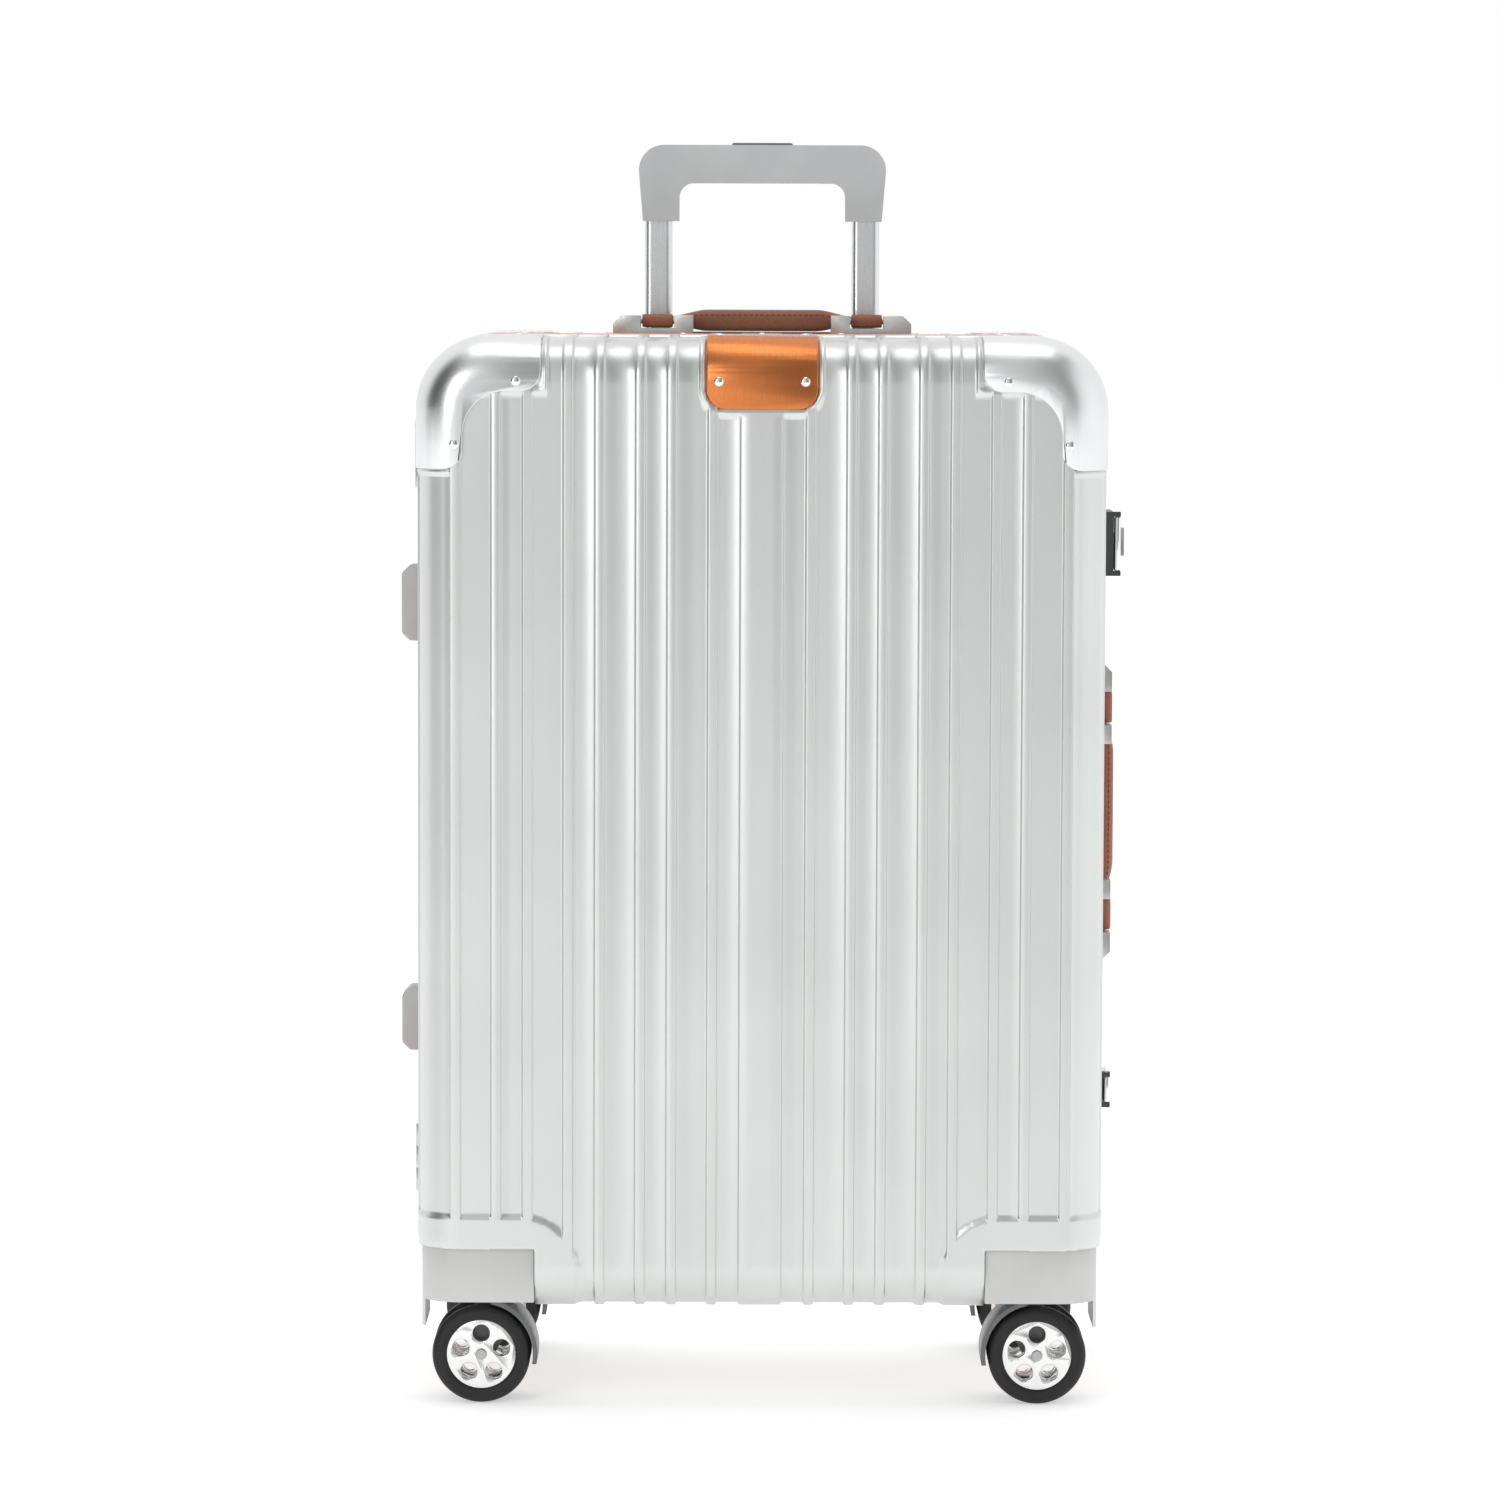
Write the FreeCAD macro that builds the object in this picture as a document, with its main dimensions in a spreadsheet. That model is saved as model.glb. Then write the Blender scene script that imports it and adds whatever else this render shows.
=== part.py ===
import FreeCAD, Part
import os
import Sketcher

# Hard shell suitcase on four twin-wheel casters, as an assembly of separate pieces.
#
# Frame: +Z up, +X towards the latches, -Y towards the lid's face. The origin is on the floor,
# under the middle of the case. The two halves meet at the parting plane, y = 0. The front half
# is the lid and turns on the hinges at -X. All sizes are millimetres.

SIZES = {
    # how far a cutting solid passes beyond what it cuts
    "beyond": 10,
    # the two shells
    "case_width": 414, "case_depth": 260, "case_bottom": 63, "case_top": 650,
    "corner_radius": 43, "edge_radius": 25, "shell_wall": 2.4,
    "rib_height": 1.6, "rib_width": 6, "first_rib": 29.5, "wide_pitch": 24.5, "narrow_pitch": 19,
    "band_half_width": 13, "side_rib_start": 30,
    "boss_reach": 95, "boss_height": 56, "boss_radius": 34, "boss_depth": 100,
    # the aluminium frame that edges each half, and the seal between them
    "frame_band": 13, "frame_proud": 2, "frame_web": 3, "frame_reach": 12, "frame_lip": 2,
    "parting_gap": 0.3, "gasket_width": 4, "gasket_depth": 1.6, "gasket_inset": 5, "gasket_sink": 0.01,
    # corner guards, centre plate and rivets
    "guard_width": 74, "guard_height": 78, "guard_top_arm": 31, "guard_side_arm": 27,
    "guard_round": 12, "guard_hollow": 26, "plating": 2.4, "plating_back": 72, "plating_gap": 0.3,
    "plate_half_width": 33.5, "plate_height": 41.5, "plate_round": 12,
    "rivet_radius": 3, "rivet_dome": 5, "frame_rivet_radius": 2, "frame_rivet_dome": 3,
    "rivet_inset": 15, "rivet_pitch": 49,
    # lining and straps
    "lining_gap": 0.8, "lining_cloth": 1.2, "lining_start": 14, "channel_play": 2,
    "strap_width": 25, "strap_cloth": 1.2,
    "strap_level": 18, "strap_tilt": 22, "buckle_width": 48, "buckle_height": 30, "buckle_depth": 6,
    # telescopic handle
    "trolley_place": 88, "tube_spacing": 131, "tube_width": 17.6, "tube_depth": 13, "tube_wall": 1.2,
    "tube_play": 0.35, "tube_round": 4, "trolley_lift": 115, "inner_tube_length": 490,
    "trolley_stop": 3, "mid_tube_stop": 2, "mid_tube_end": 1.5, "base_margin": 1,
    "grip_height": 48, "grip_top_half": 79.5, "grip_foot_half": 75.5, "grip_depth": 26,
    "grip_opening_half": 52.5, "grip_bar": 24, "grip_round": 16, "grip_inner_round": 9,
    "button_width": 39, "button_depth": 14, "button_height": 9.5, "button_proud": 1.5,
    "button_play": 0.3, "button_travel": 2.5,
    "socket_depth": 46, "socket_wall": 2, "socket_floor": 3, "socket_play": 2, "socket_flange": 4,
    "socket_flange_thick": 2, "base_height": 22,
    # carry handles
    "lug_place": 28, "bracket_inner": 43, "outer_lug": 17.2, "lug_notch": 21, "inner_lug": 11.8,
    "lug_depth": 24, "lug_height": 13, "lug_floor": 5, "lug_chamfer": 5, "pin_radius": 1.8,
    "pin_level": 9.7, "pin_play": 0.3, "lug_sole": 0.001, "loop_wall": 2.2,
    "strap_play": 0.6, "handle_strap": 4,
    "handle_reach": 28, "handle_width": 20, "handle_thick": 14, "handle_round": 6,
    "handle_pad_half": 44, "side_handle_level": 353,
    # latches and hinges
    "latch_back": 38, "latch_front": 14, "latch_gap": 0.4, "lever_thick": 4, "ear_thick": 3,
    "lever_pin_radius": 1.2, "lever_pin_play": 0.3, "pedestal_back": 26, "ear_margin": 2, "lever_margin": 2,
    "upper_latch_level": 524, "upper_latch_height": 39.5, "upper_latch_base": 10,
    "lower_latch_level": 185, "lower_latch_height": 22, "lower_latch_base": 6,
    "lever_bulge": 4, "bulge_height": 18, "bulge_length": 18,
    "hinge_offset": 5.5, "hinge_pin_radius": 1.5, "knuckle_radius": 3.2, "hinge_height": 42,
    "hinge_play": 0.3, "leaf_thick": 1.5, "leaf_reach": 12,
    # feet on the hinge side
    "foot_reach": 18.4, "foot_depth": 24, "foot_place": 34, "foot_chamfer": 5,
    "hook_level": 459, "hook_height": 36, "hook_tip": 11.5, "hook_slot": 5,
    "plain_foot_level": 200.5, "plain_foot_height": 40,
    # casters and their housings
    "housing_width": 70, "housing_depth": 71, "housing_top": 98.5, "housing_inset": 1,
    "arch_ceiling": 66, "ceiling_thick": 3, "fender_bottom": 49, "fender_thick": 2.5,
    "pocket_inset": 11, "pocket_wall": 2.5, "kingpin_offset": 49, "kingpin_inset": 42,
    "kingpin_radius": 4, "kingpin_play": 0.3, "collar_radius": 7.1, "kingpin_bottom": 47, "bearing_radius": 9,
    "bearing_top": 84, "trail": 12, "wheel_radius": 30, "tyre_width": 11, "hub_radius": 21.3,
    "hub_width": 9, "axle_radius": 3, "axle_play": 0.2, "web_thick": 12, "wheel_gap": 15,
    "fork_drop": 0.5, "fork_fender_gap": 1.6, "fork_fender_thick": 2.8,
    "fork_step": 4, "fork_nose": 8, "fork_heel": 5, "fork_knee": 6, "fork_foot": 7,
    "fork_lift": 2, "fender_end": 6, "fender_low": 24,
    "window_radius": 5.2, "window_ring": 13, "tread_round": 3, "tread_side": 2.5,
}
WINDOWS = 5
FRONT_RIBS = 8
STOPPED_RIBS = 3
SIDE_RIBS = 4
TOP_FRAME_RIVETS = 3
SIDE_FRAME_RIVETS = 5
RIVETS_UNDER_LATCHES = (3,)
HINGE_PITCHES = 4.5

doc = FreeCAD.newDocument("suitcase")
sheet = doc.addObject("Spreadsheet::Sheet", "size")
for row, (alias, value) in enumerate(SIZES.items(), 1):
    sheet.set(f"A{row}", alias)
    sheet.set(f"B{row}", str(value))
    sheet.setAlias(f"B{row}", alias)
doc.recompute()
nodes = []

# expressions that several pieces share
HALF_WIDTH = "size.case_width / 2"
HALF_DEPTH = "size.case_depth / 2"
MIDDLE = "(size.case_top + size.case_bottom) / 2"
RIM = "size.frame_web + size.parting_gap / 2"
FAR = "2 * size.case_width"
THROUGH = "size.case_top"


# ---------------------------------------------------------------- helpers

def place(obj, x="0", y="0", z="0", turn=None):
    """Bind an object's position; turn is an axis and an angle in degrees."""
    if turn:
        obj.Placement.Rotation = FreeCAD.Rotation(FreeCAD.Vector(*turn[0]), turn[1])
    for letter, rule in zip("xyz", (x, y, z)):
        obj.setExpression(f"Placement.Base.{letter}", str(rule))
    return obj


def box(name, across, deep, up):
    """Box between three pairs of limits, low then high, each an expression."""
    obj = doc.addObject("Part::Box", name)
    for prop, (low, high) in zip(("Length", "Width", "Height"), (across, deep, up)):
        obj.setExpression(prop, f"({high}) - ({low})")
    return place(obj, across[0], deep[0], up[0])


def mid_box(name, centre, half):
    """Box from its centre and half sizes, each three expressions."""
    limits = [(f"{c} - ({r})", f"{c} + {r}") for c, r in zip(centre, half)]
    return box(name, *limits)


def span(sign, near, far):
    """Limits of a stretch from near to far on one side of a plane of symmetry."""
    return (near, far) if sign > 0 else (f"-({far})", f"-({near})")


TURNS = {"x": ((0, 1, 0), 90), "y": ((1, 0, 0), -90), "z": None}


def rod(name, radius, length, start, along="z"):
    """Cylinder from a start point along one axis."""
    obj = doc.addObject("Part::Cylinder", name)
    obj.setExpression("Radius", radius)
    obj.setExpression("Height", length)
    return place(obj, *start, turn=TURNS[along])


def fuse(name, parts):
    obj = doc.addObject("Part::MultiFuse", name)
    obj.Shapes = list(parts)
    return obj


def common(name, parts):
    obj = doc.addObject("Part::MultiCommon", name)
    obj.Shapes = list(parts)
    return obj


def cut(name, base, *tools):
    obj = doc.addObject("Part::Cut", name)
    obj.Base = base
    obj.Tool = tools[0] if len(tools) == 1 else fuse(name + "_tools", tools)
    return obj


def group(name, parts):
    obj = doc.addObject("Part::Compound", name)
    obj.Links = list(parts)
    return obj


def mirror(name, source, normal):
    obj = doc.addObject("Part::Mirroring", name)
    obj.Source = source
    obj.Normal = FreeCAD.Vector(*normal)
    return obj


def node(obj, label):
    """Register an object as a piece of the assembly, written to its own file."""
    obj.Label = label
    nodes.append(obj)
    return obj


def outline(owner, name, plane, points):
    """Closed outline on one of the body's origin planes, each corner's place bound."""
    sketch = owner.newObject("Sketcher::SketchObject", name)
    support = [f for f in owner.Origin.OriginFeatures if f.Role == plane]
    sketch.AttachmentSupport = [(support[0], "")]
    sketch.MapMode = "FlatFace"
    spots = [[float(sketch.evalExpression(str(rule))) for rule in point] for point in points]
    count = len(points)
    for k in range(count):
        start = FreeCAD.Vector(*spots[k], 0)
        end = FreeCAD.Vector(*spots[(k + 1) % count], 0)
        sketch.addGeometry(Part.LineSegment(start, end), False)
    for k in range(count):
        sketch.addConstraint(Sketcher.Constraint("Coincident", k, 2, (k + 1) % count, 1))
    for k, (spot, point) in enumerate(zip(spots, points)):
        for kind, value, rule in zip(("DistanceX", "DistanceY"), spot, point):
            index = sketch.addConstraint(Sketcher.Constraint(kind, -1, 1, k, 1, value))
            sketch.setExpression(f"Constraints[{index}]", str(rule))
    return sketch


def prism(name, plane, points, length, midplane=False, reverse=False):
    """Body with one padded outline."""
    owner = doc.addObject("PartDesign::Body", name)
    pad = owner.newObject("PartDesign::Pad", name + "_pad")
    pad.Profile = outline(owner, name + "_outline", plane, points)
    pad.setExpression("Length", length)
    pad.Midplane = midplane
    pad.Reversed = reverse
    doc.recompute()
    return owner


def round_edges(owner, name, radius, wanted):
    """Fillet the edges of a body that a test picks out."""
    base = owner.Tip
    names = [f"Edge{k}" for k, edge in enumerate(base.Shape.Edges, 1) if wanted(edge)]
    fillet = owner.newObject("PartDesign::Fillet", name)
    fillet.Base = (base, names)
    fillet.setExpression("Radius", radius)
    doc.recompute()
    return owner


def runs_along(letter):
    """Test for straight edges parallel to an axis."""
    others = [k for k in "xyz" if k != letter]

    def test(edge):
        a, b = edge.Vertexes[0].Point, edge.Vertexes[-1].Point
        flat = all(abs(getattr(a, k) - getattr(b, k)) < 1e-4 for k in others)
        return flat and abs(getattr(a, letter) - getattr(b, letter)) > 1e-3
    return test


def stands_at(first, second, letter="y"):
    """Test for straight edges along an axis whose other two coordinates are the ones given."""
    others = [k for k in "xyz" if k != letter]
    spot = [float(doc.size.evalExpression(rule)) for rule in (first, second)]

    def test(edge):
        a = edge.Vertexes[0].Point
        near = all(abs(getattr(a, k) - value) < 1e-3 for k, value in zip(others, spot))
        return near and runs_along(letter)(edge)
    return test


def case_prism(name, grow, near, far, rounded=False):
    """Front half of the case's outline between two depths, grown on all sides.

    With rounded, the far face has the case's soft front edge.
    """
    side = f"{HALF_WIDTH} + {grow}"
    low, high = f"size.case_bottom - ({grow})", f"size.case_top + {grow}"
    points = [(f"-({side})", low), (side, low), (side, high), (f"-({side})", high)]
    owner = prism(name, "XZ_Plane", points, f"{far} - ({near})")
    round_edges(owner, name + "_corners", f"size.corner_radius + {grow}", runs_along("y"))
    if rounded:
        deepest = owner.Tip.Shape.BoundBox.YMin
        round_edges(owner, name + "_front", f"size.edge_radius + {grow}",
                    lambda edge: edge.BoundBox.YMax < deepest + 1e-3)
    return place(owner, y=f"-({near})")


def half_block(name, grow, near=RIM):
    """Front half of the case as a solid with soft edges, grown on all sides."""
    return case_prism(name, grow, near, f"{HALF_DEPTH} + {grow}", rounded=True)


def upright_bar(name, half_x, half_y, radius, low, high, x, y):
    """Upright bar with rounded corners, centred on a point."""
    points = [(f"-({half_x})", f"-({half_y})"), (half_x, f"-({half_y})"), (half_x, half_y),
              (f"-({half_x})", half_y)]
    owner = prism(name, "XY_Plane", points, f"{high} - ({low})")
    round_edges(owner, name + "_corners", radius, runs_along("z"))
    return place(owner, x, y, low)


SIDES = {"left": -1, "right": 1}
HALVES = {"front": -1, "rear": 1}


# ---------------------------------------------------------------- casters and housings

KINGPIN_X = f"({HALF_WIDTH} - size.kingpin_offset)"
KINGPIN_Y = f"({HALF_DEPTH} - size.kingpin_inset)"
AXLE_X = f"({KINGPIN_X} + size.trail)"


def housing_limits(half, side, extra):
    """Limits of the corner that a housing fills, grown by extra towards the inside."""
    grown = f"{HALF_WIDTH} - size.housing_width - {extra}"
    deep = f"{HALF_DEPTH} - size.housing_depth - {extra}"
    return (span(side, grown, FAR), span(half, deep, FAR), ("0", f"size.housing_top + {extra}"))


def housing(corner, half, side):
    """Plastic corner housing: a ceiling over the caster, a fender and a hollow top."""
    outer_x = f"{side} * ({HALF_WIDTH} - size.housing_inset)"
    outer_y = f"{half} * ({HALF_DEPTH} - size.housing_inset)"
    inner_x = f"{side} * ({HALF_WIDTH} - size.housing_width)"
    inner_y = f"{half} * ({HALF_DEPTH} - size.housing_depth)"
    points = [(inner_x, inner_y), (outer_x, inner_y), (outer_x, outer_y), (inner_x, outer_y)]
    name = f"{corner}_housing"
    block = prism(name + "_block", "XY_Plane", points, "size.housing_top - size.fender_bottom")
    round_edges(block, name + "_corner", "size.edge_radius - size.housing_inset",
                stands_at(outer_x, outer_y, "z"))
    place(block, z="size.fender_bottom")

    wall = f"{HALF_WIDTH} - size.housing_inset - size.fender_thick"
    cavity = box(name + "_cavity", span(side, "0", wall), span(half, "0", FAR),
                 ("0", "size.arch_ceiling"))
    pocket = box(name + "_pocket",
                 span(side, f"{HALF_WIDTH} - size.housing_width + size.pocket_wall",
                      f"{HALF_WIDTH} - size.pocket_inset"),
                 span(half, f"{HALF_DEPTH} - size.housing_depth + size.pocket_wall",
                      f"{HALF_DEPTH} - size.pocket_inset"),
                 ("size.arch_ceiling + size.ceiling_thick", "size.housing_top + size.beyond"))
    centre = (f"{side} * {KINGPIN_X}", f"{half} * {KINGPIN_Y}")
    bearing = rod(name + "_bearing", "size.bearing_radius", "size.bearing_top - size.arch_ceiling",
                  (*centre, "size.arch_ceiling"))
    bore = rod(name + "_bore", "size.kingpin_radius", THROUGH, (*centre, "0"))
    solid = fuse(name + "_solid", [cut(name + "_shell", block, cavity, pocket), bearing])
    node(cut(name, solid, bore), name)


def kingpin(corner, half, side):
    """Steel pin, fixed in the housing, that the fork turns on."""
    centre = (f"{side} * {KINGPIN_X}", f"{half} * {KINGPIN_Y}")
    return rod(f"{corner}_kingpin", "size.kingpin_radius",
               "size.bearing_top - size.kingpin_bottom", (*centre, "size.kingpin_bottom"))


def fork(corner, half, side):
    """Fork between the twin wheels, with a fender over their inner side."""
    name = f"{corner}_fork"
    top = "size.arch_ceiling - size.fork_drop"
    low = "size.kingpin_bottom + size.fork_lift"
    foot = "size.wheel_radius - size.fork_foot"
    points = [(f"{side} * ({KINGPIN_X} - size.collar_radius)", top),
              (f"{side} * ({AXLE_X} + size.fork_step)", top),
              (f"{side} * ({AXLE_X} + size.fork_nose)", "size.wheel_radius + size.fork_knee"),
              (f"{side} * ({AXLE_X} + size.fork_heel)", foot),
              (f"{side} * ({AXLE_X} - size.fork_heel)", foot),
              (f"{side} * ({KINGPIN_X} - size.collar_radius)", low)]
    web = prism(name + "_web", "XZ_Plane", points, "size.web_thick", midplane=True)
    place(web, y=f"{half} * {KINGPIN_Y}")
    centre = (f"{side} * {KINGPIN_X}", f"{half} * {KINGPIN_Y}")
    collar = rod(name + "_collar", "size.collar_radius", f"{top} - ({low})", (*centre, low))
    half_pair = "(size.wheel_gap / 2 + size.tyre_width)"
    start = (f"{side} * {AXLE_X}", f"{half} * {KINGPIN_Y} - {half_pair}", "size.wheel_radius")
    inner = "size.wheel_radius + size.fork_fender_gap"
    ring = cut(name + "_ring",
               rod(name + "_ring_outer", f"{inner} + size.fork_fender_thick", f"2 * {half_pair}",
                   start, "y"),
               rod(name + "_ring_inner", inner, f"2 * {half_pair}", start, "y"))
    window = box(name + "_fender_limit", span(side, "0", f"{AXLE_X} - size.fender_end"),
                 span(half, "0", FAR), ("size.fender_low", top))
    fender = common(name + "_fender", [ring, window])
    bore = rod(name + "_bore", "size.kingpin_radius + size.kingpin_play", THROUGH,
               (*centre, "size.kingpin_bottom - size.kingpin_play"))
    axle_bore = rod(name + "_axle_bore", "size.axle_radius + size.axle_play", THROUGH,
                    (f"{side} * {AXLE_X}", f"-{THROUGH} / 2", "size.wheel_radius"), "y")
    solid = fuse(name + "_solid", [web, collar, fender])
    node(cut(name, solid, bore, axle_bore), name)


def turned(name, points):
    """Disc turned about its own Y axis from a radius-and-width outline."""
    owner = doc.addObject("PartDesign::Body", name)
    turn = owner.newObject("PartDesign::Revolution", name + "_turn")
    sketch = outline(owner, name + "_outline", "XY_Plane", points)
    turn.Profile = sketch
    turn.ReferenceAxis = (sketch, ["V_Axis"])
    turn.Angle = 360
    doc.recompute()
    return owner


def wheel_pair(corner, half, side):
    """Twin wheels on one axle: rubber tyres on pressed hubs with windows."""
    tread, flank = "size.wheel_radius", "size.tyre_width / 2"
    shoulder, wall = f"{flank} - size.tread_side", f"{tread} - size.tread_round"
    tyres, hubs = [], []
    for twin in (-1, 1):
        name = f"{corner}_{'outer' if twin < 0 else 'inner'}"
        middle = f"{half} * {KINGPIN_Y} + {twin} * (size.wheel_gap / 2 + size.tyre_width / 2)"
        spot = (f"{side} * {AXLE_X}", middle, "size.wheel_radius")
        tyre = turned(name + "_tyre", [("size.hub_radius", f"-({flank})"), (wall, f"-({flank})"),
                                       (tread, f"-({shoulder})"), (tread, shoulder),
                                       (wall, flank), ("size.hub_radius", flank)])
        tyres.append(place(tyre, *spot))
        disc = rod(name + "_disc", "size.hub_radius", "size.hub_width",
                   (spot[0], f"{middle} - size.hub_width / 2", spot[2]), "y")
        start = f"{middle} - {THROUGH} / 2"
        tools = [rod(name + "_hub_bore", "size.axle_radius", THROUGH, (spot[0], start, spot[2]), "y")]
        for k in range(WINDOWS):
            angle = 360 / WINDOWS * k + 90
            tools.append(rod(f"{name}_window_{k}", "size.window_radius", THROUGH,
                             (f"{spot[0]} + size.window_ring * cos({angle})", start,
                              f"{spot[2]} + size.window_ring * sin({angle})"), "y"))
        hubs.append(cut(name + "_hub", disc, *tools))
    node(group(f"{corner}_tyres", tyres), f"{corner}_tyres")
    node(group(f"{corner}_hubs", hubs), f"{corner}_hubs")
    reach = "(size.wheel_gap / 2 + size.tyre_width)"
    node(rod(f"{corner}_axle", "size.axle_radius", f"2 * {reach}",
             (f"{side} * {AXLE_X}", f"{half} * {KINGPIN_Y} - {reach}", "size.wheel_radius"), "y"),
         f"{corner}_axle")


for half_name, half in HALVES.items():
    pins = []
    for side_name, side in SIDES.items():
        corner = f"{half_name}_{side_name}"
        housing(corner, half, side)
        fork(corner, half, side)
        wheel_pair(corner, half, side)
        pins.append(kingpin(corner, half, side))
    node(group(f"{half_name}_kingpins", pins), f"{half_name}_kingpins")


# ---------------------------------------------------------------- corner guards and centre plate

def plating_region(name, points, radii):
    """Solid that cuts a piece of plating out of the case's skin; radii round its corners in turn."""
    owner = prism(name, "XZ_Plane", points, HALF_DEPTH)
    for k, (radius, corner) in enumerate(radii):
        round_edges(owner, f"{name}_round_{k}", radius, stands_at(*corner))
    return place(owner, y="-size.plating_back")


def guard_region(name, grow):
    """L-shaped region of the right corner guard: two rounded arms and a hollow between."""
    out = f"({HALF_WIDTH} + size.beyond)"
    arm_end = f"{HALF_WIDTH} - size.guard_width - {grow}"
    arm_low = f"size.case_top - size.guard_top_arm - {grow}"
    side_in = f"{HALF_WIDTH} - size.guard_side_arm - {grow}"
    side_low = f"size.case_top - size.guard_height - {grow}"
    top = "size.case_top + size.beyond"
    points = [(arm_end, top), (arm_end, arm_low), (side_in, arm_low), (side_in, side_low),
              (out, side_low), (out, top)]
    radii = [(f"size.guard_round + {grow}", (arm_end, arm_low)),
             (f"size.guard_round + {grow}", (side_in, side_low)),
             (f"size.guard_hollow - {grow}", (side_in, arm_low))]
    return plating_region(name, points, radii)


def plate_region(name, grow):
    """Region of the centre plate, with its lower corners rounded."""
    side = f"size.plate_half_width + {grow}"
    low = f"size.case_top - size.plate_height - {grow}"
    top = "size.case_top + size.beyond"
    points = [(f"-({side})", top), (f"-({side})", low), (side, low), (side, top)]
    radii = [(f"size.plate_round + {grow}", (f"-({side})", low)),
             (f"size.plate_round + {grow}", (side, low))]
    return plating_region(name, points, radii)


base_block = half_block("shell_block", "0")
plating_block = half_block("plating_block", "size.plating")
plating_skin = cut("plating_skin", plating_block, half_block("plating_seat", "0"))
guard_right = common("guard_right_front", [plating_skin, guard_region("guard_region", "0")])
plate_front = common("plate_front", [plating_skin, plate_region("plate_region", "0")])
node(plate_front, "centre_plate")
node(guard_right, "front_guard_right")
node(mirror("guard_left_front", guard_right, (1, 0, 0)), "front_guard_left")
node(mirror("guard_right_rear", guard_right, (0, 1, 0)), "rear_guard_right")
node(mirror("guard_left_rear", doc.guard_left_front, (0, 1, 0)), "rear_guard_left")


# ---------------------------------------------------------------- shells

RIB_DEPTH = (f"-({HALF_DEPTH} + size.beyond)", "-size.frame_band")
FACE_DEPTH = (RIB_DEPTH[0], f"-({HALF_DEPTH} - size.edge_radius)")


def spaced(first, k):
    """Place of rib k in a row whose pitches take turns, wide then narrow."""
    return f"{first} + {(k + 1) // 2} * size.wide_pitch + {k // 2} * size.narrow_pitch"


def rib_slabs():
    """Slabs that cut the ribs out of the raised skin.

    The upright ones on the face wrap over the top and bottom, unless a guard or a boss stops
    them, and the outermost stays on the face. The others stand on the two sides.
    """
    inner = ("size.case_bottom - size.beyond", "size.case_top + size.beyond")
    outer = ("size.case_bottom + size.boss_height - size.rib_height",
             "size.case_top - size.guard_top_arm + size.rib_width")
    beside = (outer[0], "size.case_top - size.corner_radius")
    half_rib = "size.rib_width / 2"
    slabs = [box("centre_band", ("-size.band_half_width", "size.band_half_width"), RIB_DEPTH, inner)]
    for side in (-1, 1):
        tag = "l" if side < 0 else "r"
        for k in range(FRONT_RIBS):
            centre = spaced("size.first_rib", k)
            across = span(side, f"{centre} - {half_rib}", f"{centre} + {half_rib}")
            stopped = k >= FRONT_RIBS - STOPPED_RIBS
            deep = FACE_DEPTH if k == FRONT_RIBS - 1 else RIB_DEPTH
            slabs.append(box(f"rib_{tag}{k}", across, deep, outer if stopped else inner))
        for k in range(SIDE_RIBS):
            centre = spaced("size.side_rib_start", k)
            across = span(side, f"{HALF_WIDTH} - size.rib_width", f"{HALF_WIDTH} + size.beyond")
            deep = (f"-({centre} + {half_rib})", f"-({centre} - {half_rib})")
            slabs.append(box(f"side_rib_{tag}{k}", across, deep, beside))
    return slabs


def boss_slab(name, side):
    """Raised corner around a caster housing, with a round upper inner corner."""
    inner = f"{side} * ({HALF_WIDTH} - size.boss_reach)"
    outer = f"{side} * ({HALF_WIDTH} + size.beyond)"
    high = "size.case_bottom + size.boss_height"
    low = "size.case_bottom - size.beyond"
    owner = prism(name, "XZ_Plane", [(inner, low), (inner, high), (outer, high), (outer, low)],
                  "size.boss_depth")
    round_edges(owner, name + "_round", "size.boss_radius", stands_at(inner, high))
    return place(owner, y=f"-({HALF_DEPTH} + size.beyond - size.boss_depth)")


def shell_blank(name, clear):
    """Ribbed front half, hollowed, with the ribs kept clear of the plating that lies on it."""
    ribs = cut(name + "_ribs", raised, *clear)
    outer = fuse(name + "_outer", [base_block, ribs, bosses])
    return cut(name, outer, inside_block)


raised = common("raised_skin", [half_block("rib_block", "size.rib_height"),
                                fuse("rib_slabs", rib_slabs())])
bosses = common("bosses", [half_block("boss_block", "size.rib_height"),
                           fuse("boss_slabs", [boss_slab("boss_right", 1), boss_slab("boss_left", -1)])])
inside_block = half_block("shell_inside", "-size.shell_wall", near="0")
clear_right = guard_region("guard_clear", "size.plating_gap")
clear_guards = [clear_right, mirror("guard_clear_left", clear_right, (1, 0, 0))]
clear_plate = plate_region("plate_clear", "size.plating_gap")
front_corners = [box(f"corner_{side + 1}", *housing_limits(-1, side, "0")) for side in (-1, 1)]
node(cut("front_shell_cut", shell_blank("front_blank", [clear_plate, *clear_guards]), *front_corners),
     "front_shell")

SOCKET_X = "(size.grip_top_half + size.socket_play + size.socket_wall)"
SOCKET_Y = "(size.grip_depth / 2 + size.socket_play + size.socket_wall)"
SOCKET_FLOOR = "(size.case_top - size.socket_depth)"
SOCKET_LOW = f"({SOCKET_FLOOR} - size.socket_floor)"
SURFACE_X = f"({HALF_WIDTH} + size.plating)"
BRACKET_END = "(size.bracket_inner + size.inner_lug + size.lug_notch + size.outer_lug)"


def around_trolley(name, extra, low, high):
    """Box around the socket's outline, grown by extra, between two levels."""
    reach = f"{SOCKET_Y} + {extra}"
    return box(name, (f"-({SOCKET_X} + {extra})", f"{SOCKET_X} + {extra}"),
               (f"size.trolley_place - ({reach})", f"size.trolley_place + {reach}"), (low, high))


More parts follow.
